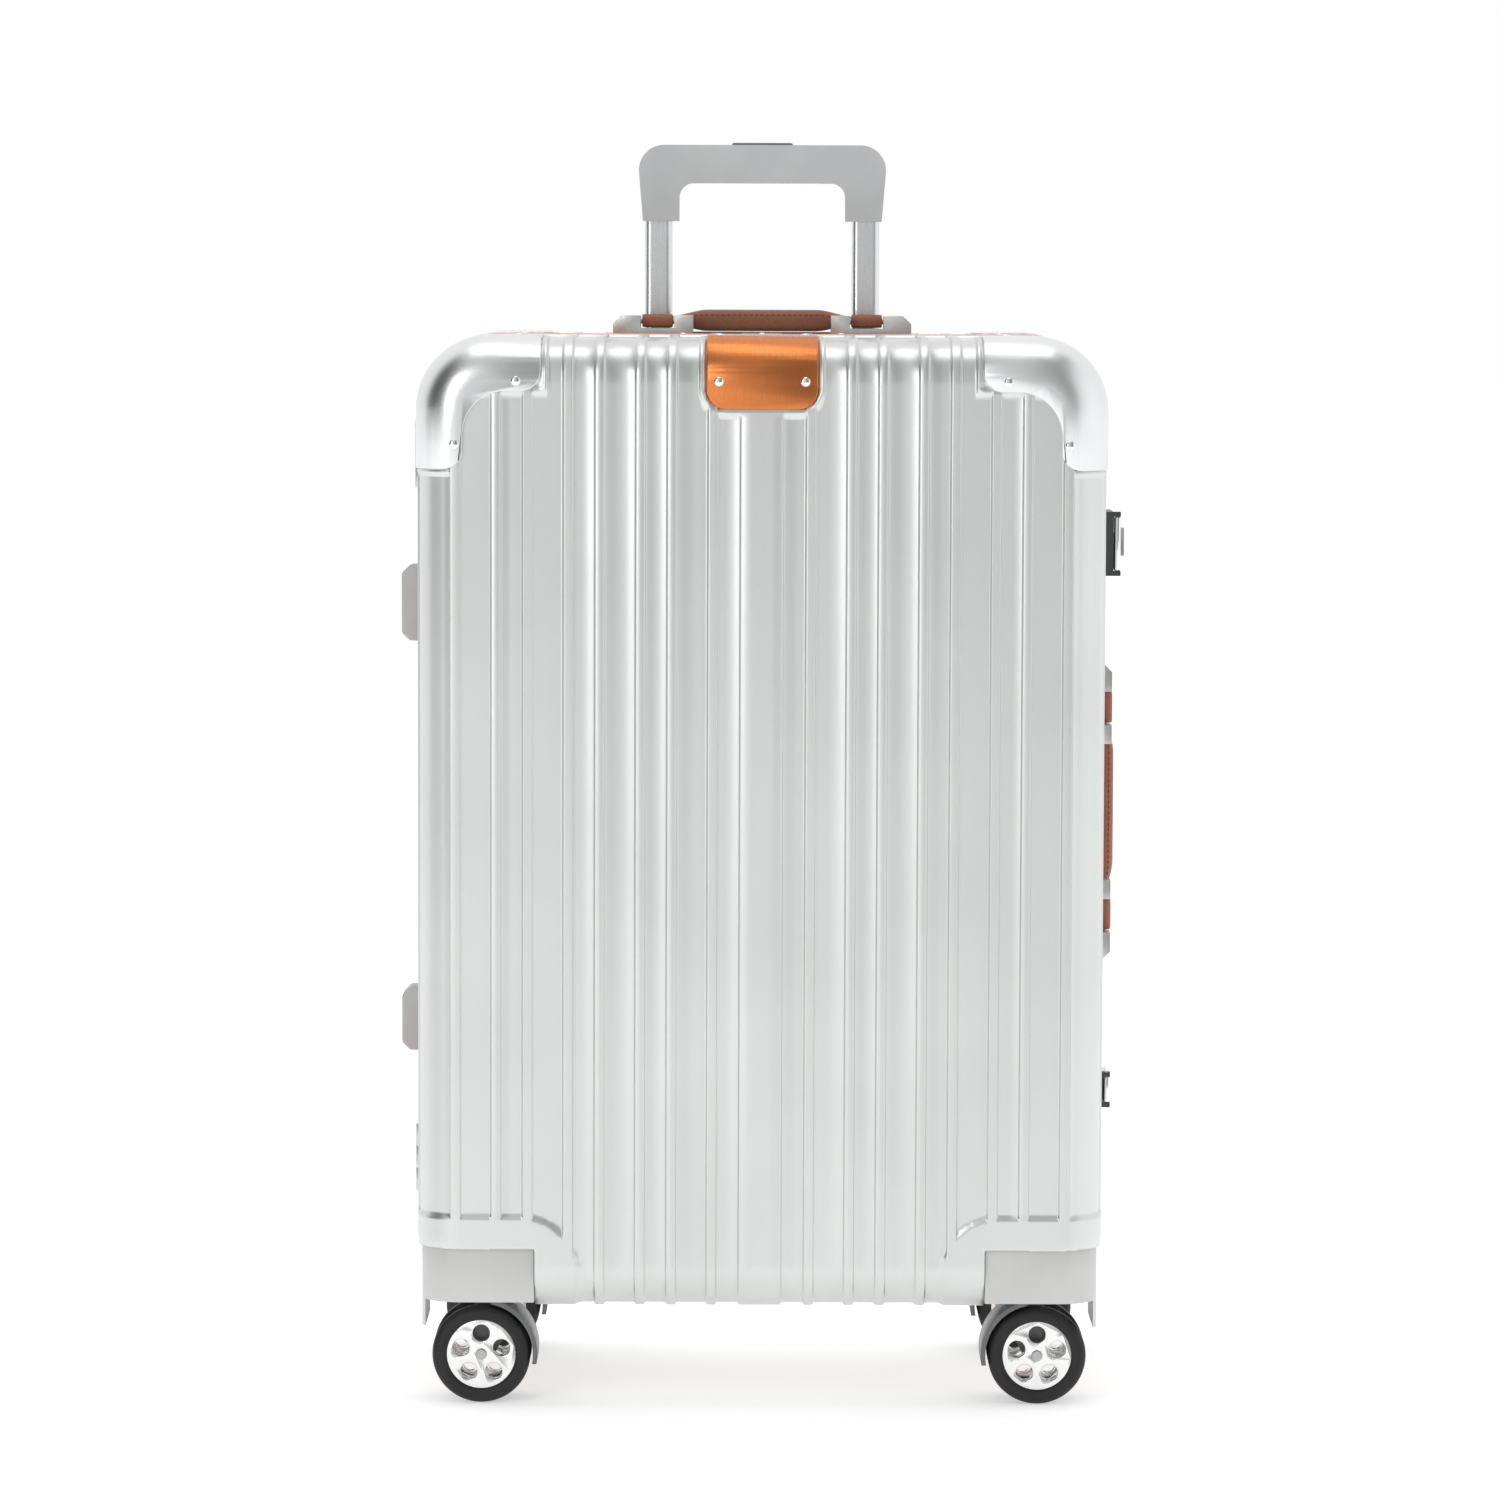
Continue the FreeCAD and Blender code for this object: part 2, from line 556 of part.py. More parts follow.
def pads():
    """Places where the ribs of the rear half stop short of what stands on it."""
    lug_y = ("size.lug_place - size.lug_depth / 2 - size.plating_gap",
             "size.lug_place + size.lug_depth / 2 + size.plating_gap")
    foot_y = ("size.foot_place - size.foot_depth / 2 - size.plating_gap",
              "size.foot_place + size.foot_depth / 2 + size.plating_gap")
    over = ("size.case_top", "size.case_top + size.beyond")
    right, left = (HALF_WIDTH, FAR), (f"-({FAR})", f"-{HALF_WIDTH}")
    boxes = []
    for side in (-1, 1):
        ends = ("size.bracket_inner - size.plating_gap", f"{BRACKET_END} + size.plating_gap")
        across = span(side, *ends)
        boxes.append(box(f"top_pad_{side + 1}", across, lug_y, over))
        up = tuple(f"size.side_handle_level + ({end})" for end in across)
        boxes.append(box(f"side_pad_{side + 1}", right, lug_y, up))
    for name, low, tall in (("hook_pad", "size.hook_level", "size.hook_height + size.hook_tip"),
                            ("foot_pad", "size.plain_foot_level", "size.plain_foot_height")):
        up = (f"{low} - size.plating_gap", f"{low} + {tall} + size.plating_gap")
        boxes.append(box(name, left, foot_y, up))
    return boxes


rear_corners = [box(f"rear_corner_{side + 1}", *housing_limits(1, side, "0")) for side in (-1, 1)]
socket_hole = around_trolley("socket_hole", "0", SOCKET_LOW, "size.case_top + size.beyond")
flange_seat = around_trolley("flange_seat", "size.socket_flange + size.plating_gap", "size.case_top",
                             "size.case_top + size.beyond")
rear_blank = mirror("rear_blank", shell_blank("rear_blank_front", clear_guards), (0, 1, 0))
node(cut("rear_shell_cut", rear_blank, *rear_corners, socket_hole, flange_seat, *pads()), "rear_shell")


# ---------------------------------------------------------------- frames and gasket

def frame_half(name, groove=None):
    """Channel-shaped edging: a proud outer band, a web at the parting plane and an inner lip."""
    gap, wall = "size.parting_gap / 2", "size.shell_wall"
    band = case_prism(name + "_band", "size.frame_proud", gap, "size.frame_band")
    channel = cut(name + "_channel", case_prism(name + "_seat", "0", RIM, "size.frame_band + size.beyond"),
                  case_prism(name + "_seat_core", f"-{wall}", "0", "size.frame_band + 2 * size.beyond"))
    inside = case_prism(name + "_inside", f"-({wall} + size.frame_lip)", RIM,
                        "size.frame_band + size.beyond")
    mouth = case_prism(name + "_mouth", "-size.frame_reach", "-size.beyond", "size.frame_band")
    return cut(name, band, channel, inside, mouth, *(groove or []))


def gasket_ring(name, near):
    outer = case_prism(name + "_outer", "-size.gasket_inset", near, "size.gasket_depth")
    inner = case_prism(name + "_inner", "-(size.gasket_inset + size.gasket_width)", "-2 * size.beyond",
                       "size.gasket_depth + size.beyond")
    return cut(name, outer, inner)


node(frame_half("front_frame"), "front_frame")
rear_frame = frame_half("rear_frame_front", [gasket_ring("gasket_groove", "-size.beyond")])
node(mirror("rear_frame", rear_frame, (0, 1, 0)), "rear_frame")
node(mirror("gasket", gasket_ring("gasket_front", "size.gasket_sink"), (0, 1, 0)), "frame_gasket")


# ---------------------------------------------------------------- rivets

def rivet(name, spot, facing, radius="size.rivet_radius", dome="size.rivet_dome"):
    """Domed rivet head: the cap of a ball whose rim has the rivet's radius."""
    cap = doc.addObject("Part::Sphere", name)
    cap.setExpression("Radius", dome)
    cap.setExpression("Angle1", f"acos({radius} / {dome})")
    cap.Angle2 = 90
    turns = {"-y": ((1, 0, 0), 90), "+z": None, "-z": ((1, 0, 0), 180), "+x": ((0, 1, 0), 90),
             "-x": ((0, 1, 0), -90)}
    sink = f"sqrt({dome} ^ 2 - {radius} ^ 2)"
    sign, letter = (1 if facing[0] == "+" else -1), facing[1]
    rules = dict(zip("xyz", spot))
    rules[letter] = f"{rules[letter]} - {sign} * {sink}"
    return place(cap, rules["x"], rules["y"], rules["z"], turn=turns[facing])


def guard_rivets():
    """Four rivets on each guard: two on the face, one on the top and one on the side."""
    face = f"-({HALF_DEPTH} + size.plating)"
    over = "size.case_top + size.plating"
    deep = "-(size.plating_back + size.rivet_inset / 2)"
    low = "size.case_top - size.guard_height + size.rivet_inset"
    heads = []
    for side, facing in ((-1, "-x"), (1, "+x")):
        tag = "l" if side < 0 else "r"
        arm = f"{side} * ({HALF_WIDTH} - size.guard_width + size.rivet_inset)"
        inner = f"{side} * ({HALF_WIDTH} - size.edge_radius + size.rivet_radius)"
        outer = f"{side} * ({HALF_WIDTH} + size.plating)"
        heads += [rivet(f"guard_arm_{tag}", (arm, face, "size.case_top - size.edge_radius"), "-y"),
                  rivet(f"guard_low_{tag}", (inner, face, low), "-y"),
                  rivet(f"guard_top_{tag}", (arm, deep, over), "+z"),
                  rivet(f"guard_side_{tag}", (outer, deep, low), facing)]
    return heads


def plate_rivets():
    """Four rivets on the centre plate: two on the face and two on the top."""
    heads = []
    for side in (-1, 1):
        tag = "l" if side < 0 else "r"
        x = f"{side} * (size.plate_half_width - size.rivet_inset / 2)"
        heads += [rivet(f"plate_face_{tag}", (x, f"-({HALF_DEPTH} + size.plating)",
                                              "size.case_top - size.edge_radius"), "-y"),
                  rivet(f"plate_top_{tag}", (x, "-(size.plating_back + size.rivet_inset / 2)",
                                             "size.case_top + size.plating"), "+z")]
    return heads


def frame_rivets():
    """Small rivets along the proud band of the front frame."""
    middle = "-size.frame_band / 2"
    small = ("size.frame_rivet_radius", "size.frame_rivet_dome")
    high, low = "size.case_top + size.frame_proud", "size.case_bottom - size.frame_proud"
    heads = []
    for k in range(-TOP_FRAME_RIVETS, TOP_FRAME_RIVETS + 1):
        x = f"{k} * size.rivet_pitch"
        heads.append(rivet(f"frame_top_{k + TOP_FRAME_RIVETS}", (x, middle, high), "+z", *small))
        heads.append(rivet(f"frame_low_{k + TOP_FRAME_RIVETS}", (x, middle, low), "-z", *small))
    for side, facing in ((1, "+x"), (-1, "-x")):
        for k in range(-SIDE_FRAME_RIVETS, SIDE_FRAME_RIVETS + 1):
            if side > 0 and k in RIVETS_UNDER_LATCHES:
                continue
            spot = (f"{side} * ({HALF_WIDTH} + size.frame_proud)", middle,
                    f"{MIDDLE} + {k} * size.rivet_pitch")
            name = f"frame_{'r' if side > 0 else 'l'}{k + SIDE_FRAME_RIVETS}"
            heads.append(rivet(name, spot, facing, *small))
    return heads


shared_heads = guard_rivets() + frame_rivets()
node(group("front_heads", shared_heads + plate_rivets()), "front_rivets")
node(mirror("rear_heads", group("shared_heads", shared_heads), (0, 1, 0)), "rear_rivets")


# ---------------------------------------------------------------- lining and packing straps

CHANNEL_X = "(size.tube_spacing / 2 + size.tube_width / 2 + 2 * (size.tube_wall + size.tube_play))"
CHANNEL_Y = "(size.tube_depth / 2 + 2 * (size.tube_wall + size.tube_play))"


def lining_body(name, grow, extra, half):
    """Solid inside of one half, less the corners and the trolley channel that stand in it."""
    block = half_block(name + "_block", grow, near="size.lining_start")
    tools = [box(f"{name}_corner_{side + 1}", *housing_limits(half, side, extra)) for side in (-1, 1)]
    if half > 0:
        block = mirror(name + "_block_rear", block, (0, 1, 0))
        side = f"{CHANNEL_X} + size.channel_play + {extra}"
        tools.append(box(name + "_channel", (f"-({side})", side),
                         (f"size.trolley_place - {CHANNEL_Y} - size.channel_play - {extra}", FAR),
                         ("0", "size.case_top")))
        tools.append(box(name + "_socket", (f"-({SOCKET_X} + {extra})", f"{SOCKET_X} + {extra}"),
                         (f"size.trolley_place - {SOCKET_Y} - {extra}", FAR),
                         (f"{SOCKET_LOW} - {extra}", "size.case_top + size.beyond")))
    return cut(name, block, *tools)


def lining(name, half):
    """Cloth lining that follows the inside of the shell at a small gap."""
    gap, cloth = "size.lining_gap", "size.lining_cloth"
    outer = lining_body(name + "_outer", f"-(size.shell_wall + {gap})", gap, half)
    inner = lining_body(name + "_inner", f"-(size.shell_wall + {gap} + {cloth})",
                        f"({gap} + {cloth})", half)
    node(cut(name, outer, inner), name)
    return inner


def packing_strap(name, tilt):
    """Flat strap that leans by an angle about the middle of the rear half."""
    angle = tilt * float(doc.size.strap_tilt)
    strap = doc.addObject("Part::Box", name)
    strap.setExpression("Length", "size.strap_width")
    strap.setExpression("Width", "size.strap_cloth")
    strap.setExpression("Height", f"2 * {THROUGH}")
    half_w, half_l = "size.strap_width / 2", THROUGH
    lean = f"{tilt} * size.strap_tilt"
    return place(strap, f"-({half_w} * cos({lean}) + {half_l} * sin({lean}))", "size.strap_level",
                 f"{MIDDLE} + {half_w} * sin({lean}) - {half_l} * cos({lean})", turn=((0, 1, 0), angle))


lining("front_lining", -1)
rear_inside = lining("rear_lining", 1)
crossed = fuse("crossed_straps", [packing_strap("strap_up", 1), packing_strap("strap_down", -1)])
node(common("cross_straps", [crossed, rear_inside]), "cross_straps")
node(mid_box("strap_buckle", ("0", "size.strap_level - size.buckle_depth / 2", MIDDLE),
             ("size.buckle_width / 2", "size.buckle_depth / 2", "size.buckle_height / 2")), "strap_buckle")


# ---------------------------------------------------------------- telescopic handle

TROLLEY_BASE_TOP = "(size.case_bottom + size.shell_wall + size.base_height)"
GRIP_LOW = f"({SOCKET_FLOOR} + size.trolley_stop + size.trolley_lift)"
GRIP_TOP = f"({GRIP_LOW} + size.grip_height)"
TUBE_TOP = f"({GRIP_LOW} + size.grip_bar)"


def tube_block(name, stage, grow, low, high):
    """Right-hand tube's outline as a solid; stage 0 is the inner tube and 2 the outer one."""
    swell = f"{stage} * (size.tube_wall + size.tube_play) + {grow}"
    return upright_bar(name, f"size.tube_width / 2 + {swell}", f"size.tube_depth / 2 + {swell}",
                       f"size.tube_round + {swell}", low, high,
                       "size.tube_spacing / 2", "size.trolley_place")


def tube_pair(name, stage, low, high):
    """Two hollow tubes of one stage."""
    outer = tube_block(name + "_outside", stage, "0", low, high)
    bore = tube_block(name + "_bore", stage, "-size.tube_wall", f"{low} - size.beyond",
                      f"{high} + size.beyond")
    right = cut(name + "_right", outer, bore)
    node(group(name, [right, mirror(name + "_left", right, (1, 0, 0))]), name)


def both_sides(name, source):
    return fuse(name, [source, mirror(name + "_left", source, (1, 0, 0))])


tube_pair("trolley_outer_tubes", 2, TROLLEY_BASE_TOP, SOCKET_LOW)
tube_pair("trolley_mid_tubes", 1, f"{TROLLEY_BASE_TOP} + size.mid_tube_stop",
          f"{SOCKET_FLOOR} + size.mid_tube_end")
tube_pair("trolley_inner_tubes", 0, f"{TUBE_TOP} - size.inner_tube_length", TUBE_TOP)
base_reach = f"{CHANNEL_X} + size.base_margin"
node(box("trolley_base", (f"-({base_reach})", base_reach),
         (f"size.trolley_place - {CHANNEL_Y}", f"size.trolley_place + {CHANNEL_Y}"),
         ("size.case_bottom + size.shell_wall", TROLLEY_BASE_TOP)), "trolley_base")

socket_body = around_trolley("socket_body", "0", SOCKET_LOW, "size.case_top")
flange = around_trolley("socket_flange", "size.socket_flange", "size.case_top",
                        "size.case_top + size.socket_flange_thick")
cup = around_trolley("socket_cup", "-size.socket_wall", SOCKET_FLOOR, "size.case_top + size.beyond")
tube_hole = tube_block("socket_tube_hole", 1, "size.tube_play", f"{SOCKET_LOW} - size.beyond",
                       f"{SOCKET_FLOOR} + size.beyond")
node(cut("trolley_socket", fuse("socket_solid", [socket_body, flange]), cup,
         both_sides("socket_holes", tube_hole)), "trolley_socket")


def grip():
    """Bow-shaped grip: two legs on the inner tubes, a bar across and a pocket for the button."""
    foot, top, inner = "size.grip_foot_half", "size.grip_top_half", "size.grip_opening_half"
    bar = f"{GRIP_LOW} + size.grip_bar"
    points = [(f"-{foot}", GRIP_LOW), (f"-{top}", GRIP_TOP), (top, GRIP_TOP), (foot, GRIP_LOW),
              (inner, GRIP_LOW), (inner, bar), (f"-{inner}", bar), (f"-{inner}", GRIP_LOW)]
    bow = prism("grip_bow", "XZ_Plane", points, "size.grip_depth", midplane=True)
    levels = [float(doc.size.evalExpression(rule)) for rule in (GRIP_TOP, bar)]
    for name, radius, level in (("grip_shoulders", "size.grip_round", levels[0]),
                                ("grip_corners", "size.grip_inner_round", levels[1])):
        def at_level(edge, level=level):
            return runs_along("y")(edge) and abs(edge.Vertexes[0].Point.z - level) < 1e-3
        round_edges(bow, name, radius, at_level)
    place(bow, y="size.trolley_place")
    leg_hole = tube_block("grip_leg_hole", 0, "0", f"{GRIP_LOW} - size.beyond", TUBE_TOP)
    play = "size.button_play"
    pocket_low = f"{GRIP_TOP} + size.button_proud - size.button_height - size.button_travel - {play}"
    half_x, half_y = "size.button_width / 2", "size.button_depth / 2"
    near, far = f"size.trolley_place - {half_y}", f"size.trolley_place + {half_y}"
    pocket = box("button_pocket", (f"-({half_x} + {play})", f"{half_x} + {play}"),
                 (f"{near} - {play}", f"{far} + {play}"), (pocket_low, f"{GRIP_TOP} + size.beyond"))
    node(cut("trolley_grip", bow, both_sides("grip_leg_holes", leg_hole), pocket), "trolley_grip")
    button_top = f"{GRIP_TOP} + size.button_proud"
    node(box("trolley_button", (f"-{half_x}", half_x), (near, far),
             (f"{button_top} - size.button_height", button_top)), "trolley_button")


grip()


# ---------------------------------------------------------------- carry handles

# Both handles are the same. They are drawn lying on the plane z = 0 and then set on the top
# and on the latch side of the rear half.

NOTCH_IN = "(size.bracket_inner + size.inner_lug)"
NOTCH_OUT = f"({NOTCH_IN} + size.lug_notch)"
SEATS = {"top": (("0", "0", "size.case_top"), None),
         "side": ((HALF_WIDTH, "0", "size.side_handle_level"), ((0, 1, 0), 90))}


def seated(name, where, parts):
    """Set drawn pieces on the top or on the side of the case."""
    spot, turn = SEATS[where]
    return place(group(name, parts), *spot, turn=turn)


def drawn_bracket():
    """Die-cast bracket with a notch for the strap's loop and one chamfered lug."""
    start, end, high = "size.bracket_inner", BRACKET_END, "size.lug_height"
    points = [(start, "size.lug_sole"), (start, high), (NOTCH_IN, high), (NOTCH_IN, "size.lug_floor"),
              (NOTCH_OUT, "size.lug_floor"), (NOTCH_OUT, high), (f"{end} - size.lug_chamfer", high),
              (end, f"{high} - size.lug_chamfer"), (end, "size.lug_sole")]
    block = prism("bracket_block", "XZ_Plane", points, "size.lug_depth", midplane=True)
    place(block, y="size.lug_place")
    return cut("bracket_right", block, drawn_pin("bracket_bore"))


def drawn_pin(name):
    start = f"{NOTCH_IN} - size.inner_lug / 2"
    return rod(name, "size.pin_radius", "size.lug_notch + size.inner_lug / 2 + size.outer_lug / 2",
               (start, "size.lug_place", "size.pin_level"), "x")


def drawn_handle():
    """Leather handle: a loop around each pin, a strap back to the bar and the padded bar."""
    low, high = f"{NOTCH_IN} + size.strap_play", f"{NOTCH_OUT} - size.strap_play"
    loop_radius = "size.pin_radius + size.pin_play + size.loop_wall"
    loop = rod("handle_loop", loop_radius, f"({high}) - ({low})",
               (low, "size.lug_place", "size.pin_level"), "x")
    bore = rod("handle_bore", "size.pin_radius + size.pin_play", "size.lug_notch",
               (NOTCH_IN, "size.lug_place", "size.pin_level"), "x")
    half_strap = "size.handle_strap / 2"
    levels = (f"size.pin_level - {half_strap}", f"size.pin_level + {half_strap}")
    bar_y = "size.lug_place + size.handle_reach"
    leg = box("handle_leg", (low, high), ("size.lug_place", bar_y), levels)
    end = cut("handle_end", fuse("handle_end_solid", [loop, leg]), bore)
    strap = box("handle_strap_bar", (f"-({high})", high),
                (f"{bar_y} - size.handle_width / 2", f"{bar_y} + size.handle_width / 2"), levels)
    half_y, half_z = "size.handle_width / 2", "size.handle_thick / 2"
    corners = [(f"-{half_y}", f"-{half_z}"), (half_y, f"-{half_z}"), (half_y, half_z),
               (f"-{half_y}", half_z)]
    pad = prism("handle_pad", "YZ_Plane", corners, "2 * size.handle_pad_half", midplane=True)
    round_edges(pad, "handle_pad_round", "size.handle_round", runs_along("x"))
    place(pad, y=bar_y, z="size.pin_level")
    return fuse("carry_handle", [both_sides("handle_ends", end), strap, pad])


bracket = drawn_bracket()
bracket_pair = [bracket, mirror("bracket_left", bracket, (1, 0, 0))]
pin = drawn_pin("handle_pin")
pin_pair = [pin, mirror("handle_pin_left", pin, (1, 0, 0))]
leather = drawn_handle()
for where in SEATS:
    node(seated(f"{where}_handle_brackets", where, bracket_pair), f"{where}_handle_brackets")
    node(seated(f"{where}_handle", where, [leather]), f"{where}_handle")
node(group("handle_pins", [seated(f"{where}_pins", where, pin_pair) for where in SEATS]), "handle_pins")


# ---------------------------------------------------------------- latches

def latch(name, level, height, base):
    """Lever latch: a base with ears on the front half, a keeper on the rear half and a lever."""
    seat, top = f"{HALF_WIDTH} + size.frame_proud", f"{HALF_WIDTH} + {base}"
    gap, thick = "size.latch_gap", "size.lever_thick"
    low, high = f"{level} - {height} / 2", f"{level} + {height} / 2"
    lever_low, lever_high = f"{low} + size.ear_thick + {gap}", f"{high} - size.ear_thick - {gap}"
    pin_x, pin_y = f"{top} + {gap} + {thick} / 2", f"-(size.latch_back - {thick} / 2)"
    keeper = box(name + "_keeper", (seat, top), (gap, "size.latch_front"), (low, high))
    plate = box(name + "_base_plate", (seat, top), ("-size.latch_back", f"-{gap}"), (low, high))
    pedestal = box(name + "_pedestal", (HALF_WIDTH, seat),
                   ("-size.pedestal_back", "-size.frame_band - size.plating_gap"), (low, high))
    ear_depth = ("-size.latch_back", f"-size.latch_back + {thick} + size.ear_margin")
    ear_limits = ((low, f"{low} + size.ear_thick"), (f"{high} - size.ear_thick", high))
    ears = [box(f"{name}_ear_{k}", (top, f"{top} + {gap} + {thick}"), ear_depth, limits)
            for k, limits in enumerate(ear_limits)]
    bore = rod(name + "_ear_bore", "size.lever_pin_radius + size.lever_pin_play", THROUGH,
               (pin_x, pin_y, "0"))
    solid = fuse(name + "_base_solid", [plate, pedestal, *ears])
    node(cut(name + "_base", solid, bore), name + "_base")

    flat = (f"{top} + {gap}", f"{top} + {gap} + {thick}")
    lever = [box(name + "_lever_plate", flat, (pin_y, "size.latch_front - size.lever_margin"),
                 (lever_low, lever_high)),
             rod(name + "_lever_barrel", f"{thick} / 2", f"({lever_high}) - ({lever_low})",
                 (pin_x, pin_y, lever_low)),
             rod(name + "_lever_pin", "size.lever_pin_radius", height, (pin_x, pin_y, low)),
             box(name + "_lever_bulge", (flat[1], f"{flat[1]} + size.lever_bulge"),
                 ("-size.bulge_length / 2", "size.bulge_length / 2"),
                 (f"{level} - size.bulge_height / 2", f"{level} + size.bulge_height / 2"))]
    if name == "lower_latch":
        lever.pop()
    node(fuse(name + "_lever", lever), name + "_lever")
    return keeper


node(group("latch_keepers", [
    latch("upper_latch", "size.upper_latch_level", "size.upper_latch_height", "size.upper_latch_base"),
    latch("lower_latch", "size.lower_latch_level", "size.lower_latch_height", "size.lower_latch_base")]),
    "latch_keepers")


# ---------------------------------------------------------------- hinges

HINGE_X = f"-({HALF_WIDTH} + size.hinge_offset)"


def knuckle(name, low, high, bore):
    rule = "size.hinge_pin_radius" + (" + size.hinge_play" if bore else "")
    barrel = rod(name + "_barrel", "size.knuckle_radius", f"({high}) - ({low})", (HINGE_X, "0", low))
    return cut(name, barrel, rod(name + "_bore", rule, THROUGH, (HINGE_X, "0", "0")))


def leaf(name, half, low, high, knuckles):
    """Hinge leaf on one frame's band, bridged to its knuckles."""
    outer = f"-({HALF_WIDTH} + size.frame_proud + size.leaf_thick)"
    inner = f"-({HALF_WIDTH} + size.frame_proud)"
    clear = "size.knuckle_radius + size.hinge_play"
    parts = [box(name + "_plate", (outer, inner), span(half, clear, "size.leaf_reach"), (low, high))]
    for k, (near, far) in enumerate(knuckles):
        bore = rod(f"{name}_slot_{k}", "size.hinge_pin_radius + size.hinge_play", THROUGH,
                   (HINGE_X, "0", "0"))
        bridge = box(f"{name}_bridge_{k}", (outer, inner), span(half, "size.hinge_play", "size.leaf_reach"),
                     (near, far))
        parts += [knuckle(f"{name}_knuckle_{k}", near, far, half < 0), cut(f"{name}_arm_{k}", bridge, bore)]
    return fuse(name, parts)


def hinge(name, level):
    """One hinge: the rear leaf holds the middle knuckle and the pin, the front leaf the outer two."""
    low, high = f"{level} - size.hinge_height / 2", f"{level} + size.hinge_height / 2"
    third, play = "size.hinge_height / 6", "size.hinge_play / 2"
    middle = (f"{level} - {third} + {play}", f"{level} + {third} - {play}")
    ends = [(low, f"{level} - {third} - {play}"), (f"{level} + {third} + {play}", high)]
    return (leaf(name + "_front", -1, low, high, ends), leaf(name + "_rear", 1, low, high, [middle]),
            rod(name + "_pin", "size.hinge_pin_radius", "size.hinge_height", (HINGE_X, "0", low)))


hinges = [hinge("low_hinge", f"{MIDDLE} - {HINGE_PITCHES} * size.rivet_pitch"),
          hinge("high_hinge", f"{MIDDLE} + {HINGE_PITCHES} * size.rivet_pitch")]
for label, parts in zip(("hinge_leaves_front", "hinge_leaves_rear", "hinge_pins"), zip(*hinges)):
    node(group(label, parts), label)


# ---------------------------------------------------------------- feet on the hinge side

def side_foot(label, low, profile):
    """Foot on the hinge side of the rear half; the profile is (reach, height) above the wall."""
    points = [(f"-({HALF_WIDTH} + {reach})", f"{low} + {height}") for reach, height in profile]
    foot = prism(label, "XZ_Plane", points, "size.foot_depth", midplane=True)
    node(place(foot, y="size.foot_place"), label)


REACH, CHAMFER = "size.foot_reach", "size.foot_chamfer"
HOOK_TOP = "size.hook_height + size.hook_tip"
side_foot("hook_foot", "size.hook_level",
          [("0", "0"), (f"{REACH} - {CHAMFER}", "0"), (REACH, CHAMFER), (REACH, f"{HOOK_TOP} - {CHAMFER}"),
           (f"{REACH} - {CHAMFER}", HOOK_TOP), ("size.hook_slot", HOOK_TOP),
           ("size.hook_slot", "size.hook_height"), ("0", "size.hook_height")])
side_foot("plain_foot", "size.plain_foot_level",
          [("0", "0"), (f"{REACH} - {CHAMFER}", "0"), (REACH, CHAMFER),
           (REACH, f"size.plain_foot_height - {CHAMFER}"),
           (f"{REACH} - {CHAMFER}", "size.plain_foot_height"), ("0", "size.plain_foot_height")])


# ---------------------------------------------------------------- checks and files

doc.recompute()
for obj in doc.Objects:
    if "Invalid" in obj.State or "Error" in obj.State:
        raise RuntimeError(f"{obj.Name} failed: {obj.State}")
os.makedirs("parts", exist_ok=True)
for obj in nodes:
    if obj.Shape.isNull() or not obj.Shape.isValid() or not obj.Shape.Solids:
        raise RuntimeError(f"{obj.Label} has no valid solid")
for obj in nodes:
    obj.Shape.exportStep(f"parts/{obj.Label}.step")
    limits = obj.Shape.BoundBox
    print(f"{obj.Label:22s} solids {len(obj.Shape.Solids):3d}  volume {obj.Shape.Volume:10.0f}  "
          f"x {limits.XMin:7.1f} {limits.XMax:7.1f}  y {limits.YMin:7.1f} {limits.YMax:7.1f}  "
          f"z {limits.ZMin:6.1f} {limits.ZMax:6.1f}")
print(len(nodes), "nodes")
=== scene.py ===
# %% [markdown]
# # A hard shell suitcase on twin-wheel casters
# The engineering model gives every piece its size, its place and the joint it moves on. This
# lesson adds what such a model leaves out: pressed ribs with soft flanks, rolled edges, brushed
# and painted finishes, leather, webbing and cloth. Each step first says what the piece is on a
# real suitcase and how it could be made, and then makes it.

# %% The engineering model
import math

import bmesh
import bpy
import numpy as np
from mathutils import Matrix, Vector


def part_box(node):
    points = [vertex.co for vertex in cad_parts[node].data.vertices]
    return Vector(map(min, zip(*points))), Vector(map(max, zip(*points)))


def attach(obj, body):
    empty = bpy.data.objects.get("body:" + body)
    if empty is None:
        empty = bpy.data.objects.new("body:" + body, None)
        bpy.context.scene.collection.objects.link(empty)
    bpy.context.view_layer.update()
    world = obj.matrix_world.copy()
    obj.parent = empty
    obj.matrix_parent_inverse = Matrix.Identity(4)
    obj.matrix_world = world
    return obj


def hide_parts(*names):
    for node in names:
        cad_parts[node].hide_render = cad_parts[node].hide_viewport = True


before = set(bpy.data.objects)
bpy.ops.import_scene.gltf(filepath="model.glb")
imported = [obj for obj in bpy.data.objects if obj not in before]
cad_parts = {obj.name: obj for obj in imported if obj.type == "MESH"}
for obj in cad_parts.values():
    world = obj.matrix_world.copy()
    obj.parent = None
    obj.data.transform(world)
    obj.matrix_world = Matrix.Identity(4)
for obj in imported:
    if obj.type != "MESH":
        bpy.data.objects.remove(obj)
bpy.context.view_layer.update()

MM = 0.001

# %% [markdown]
# ## Sizes
# All shapes below are drawn in millimetres. The big sizes are read from the engineering model,
# so a wider or taller case would carry through. The skin of a shell has two levels: the panels,
# and the ribs and rims that stand proud of them.

# %% Sizes of the case
def reach(node):
    """Lowest and highest corner of an engineering node, in millimetres."""
    return [np.array(corner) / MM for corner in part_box(node)]


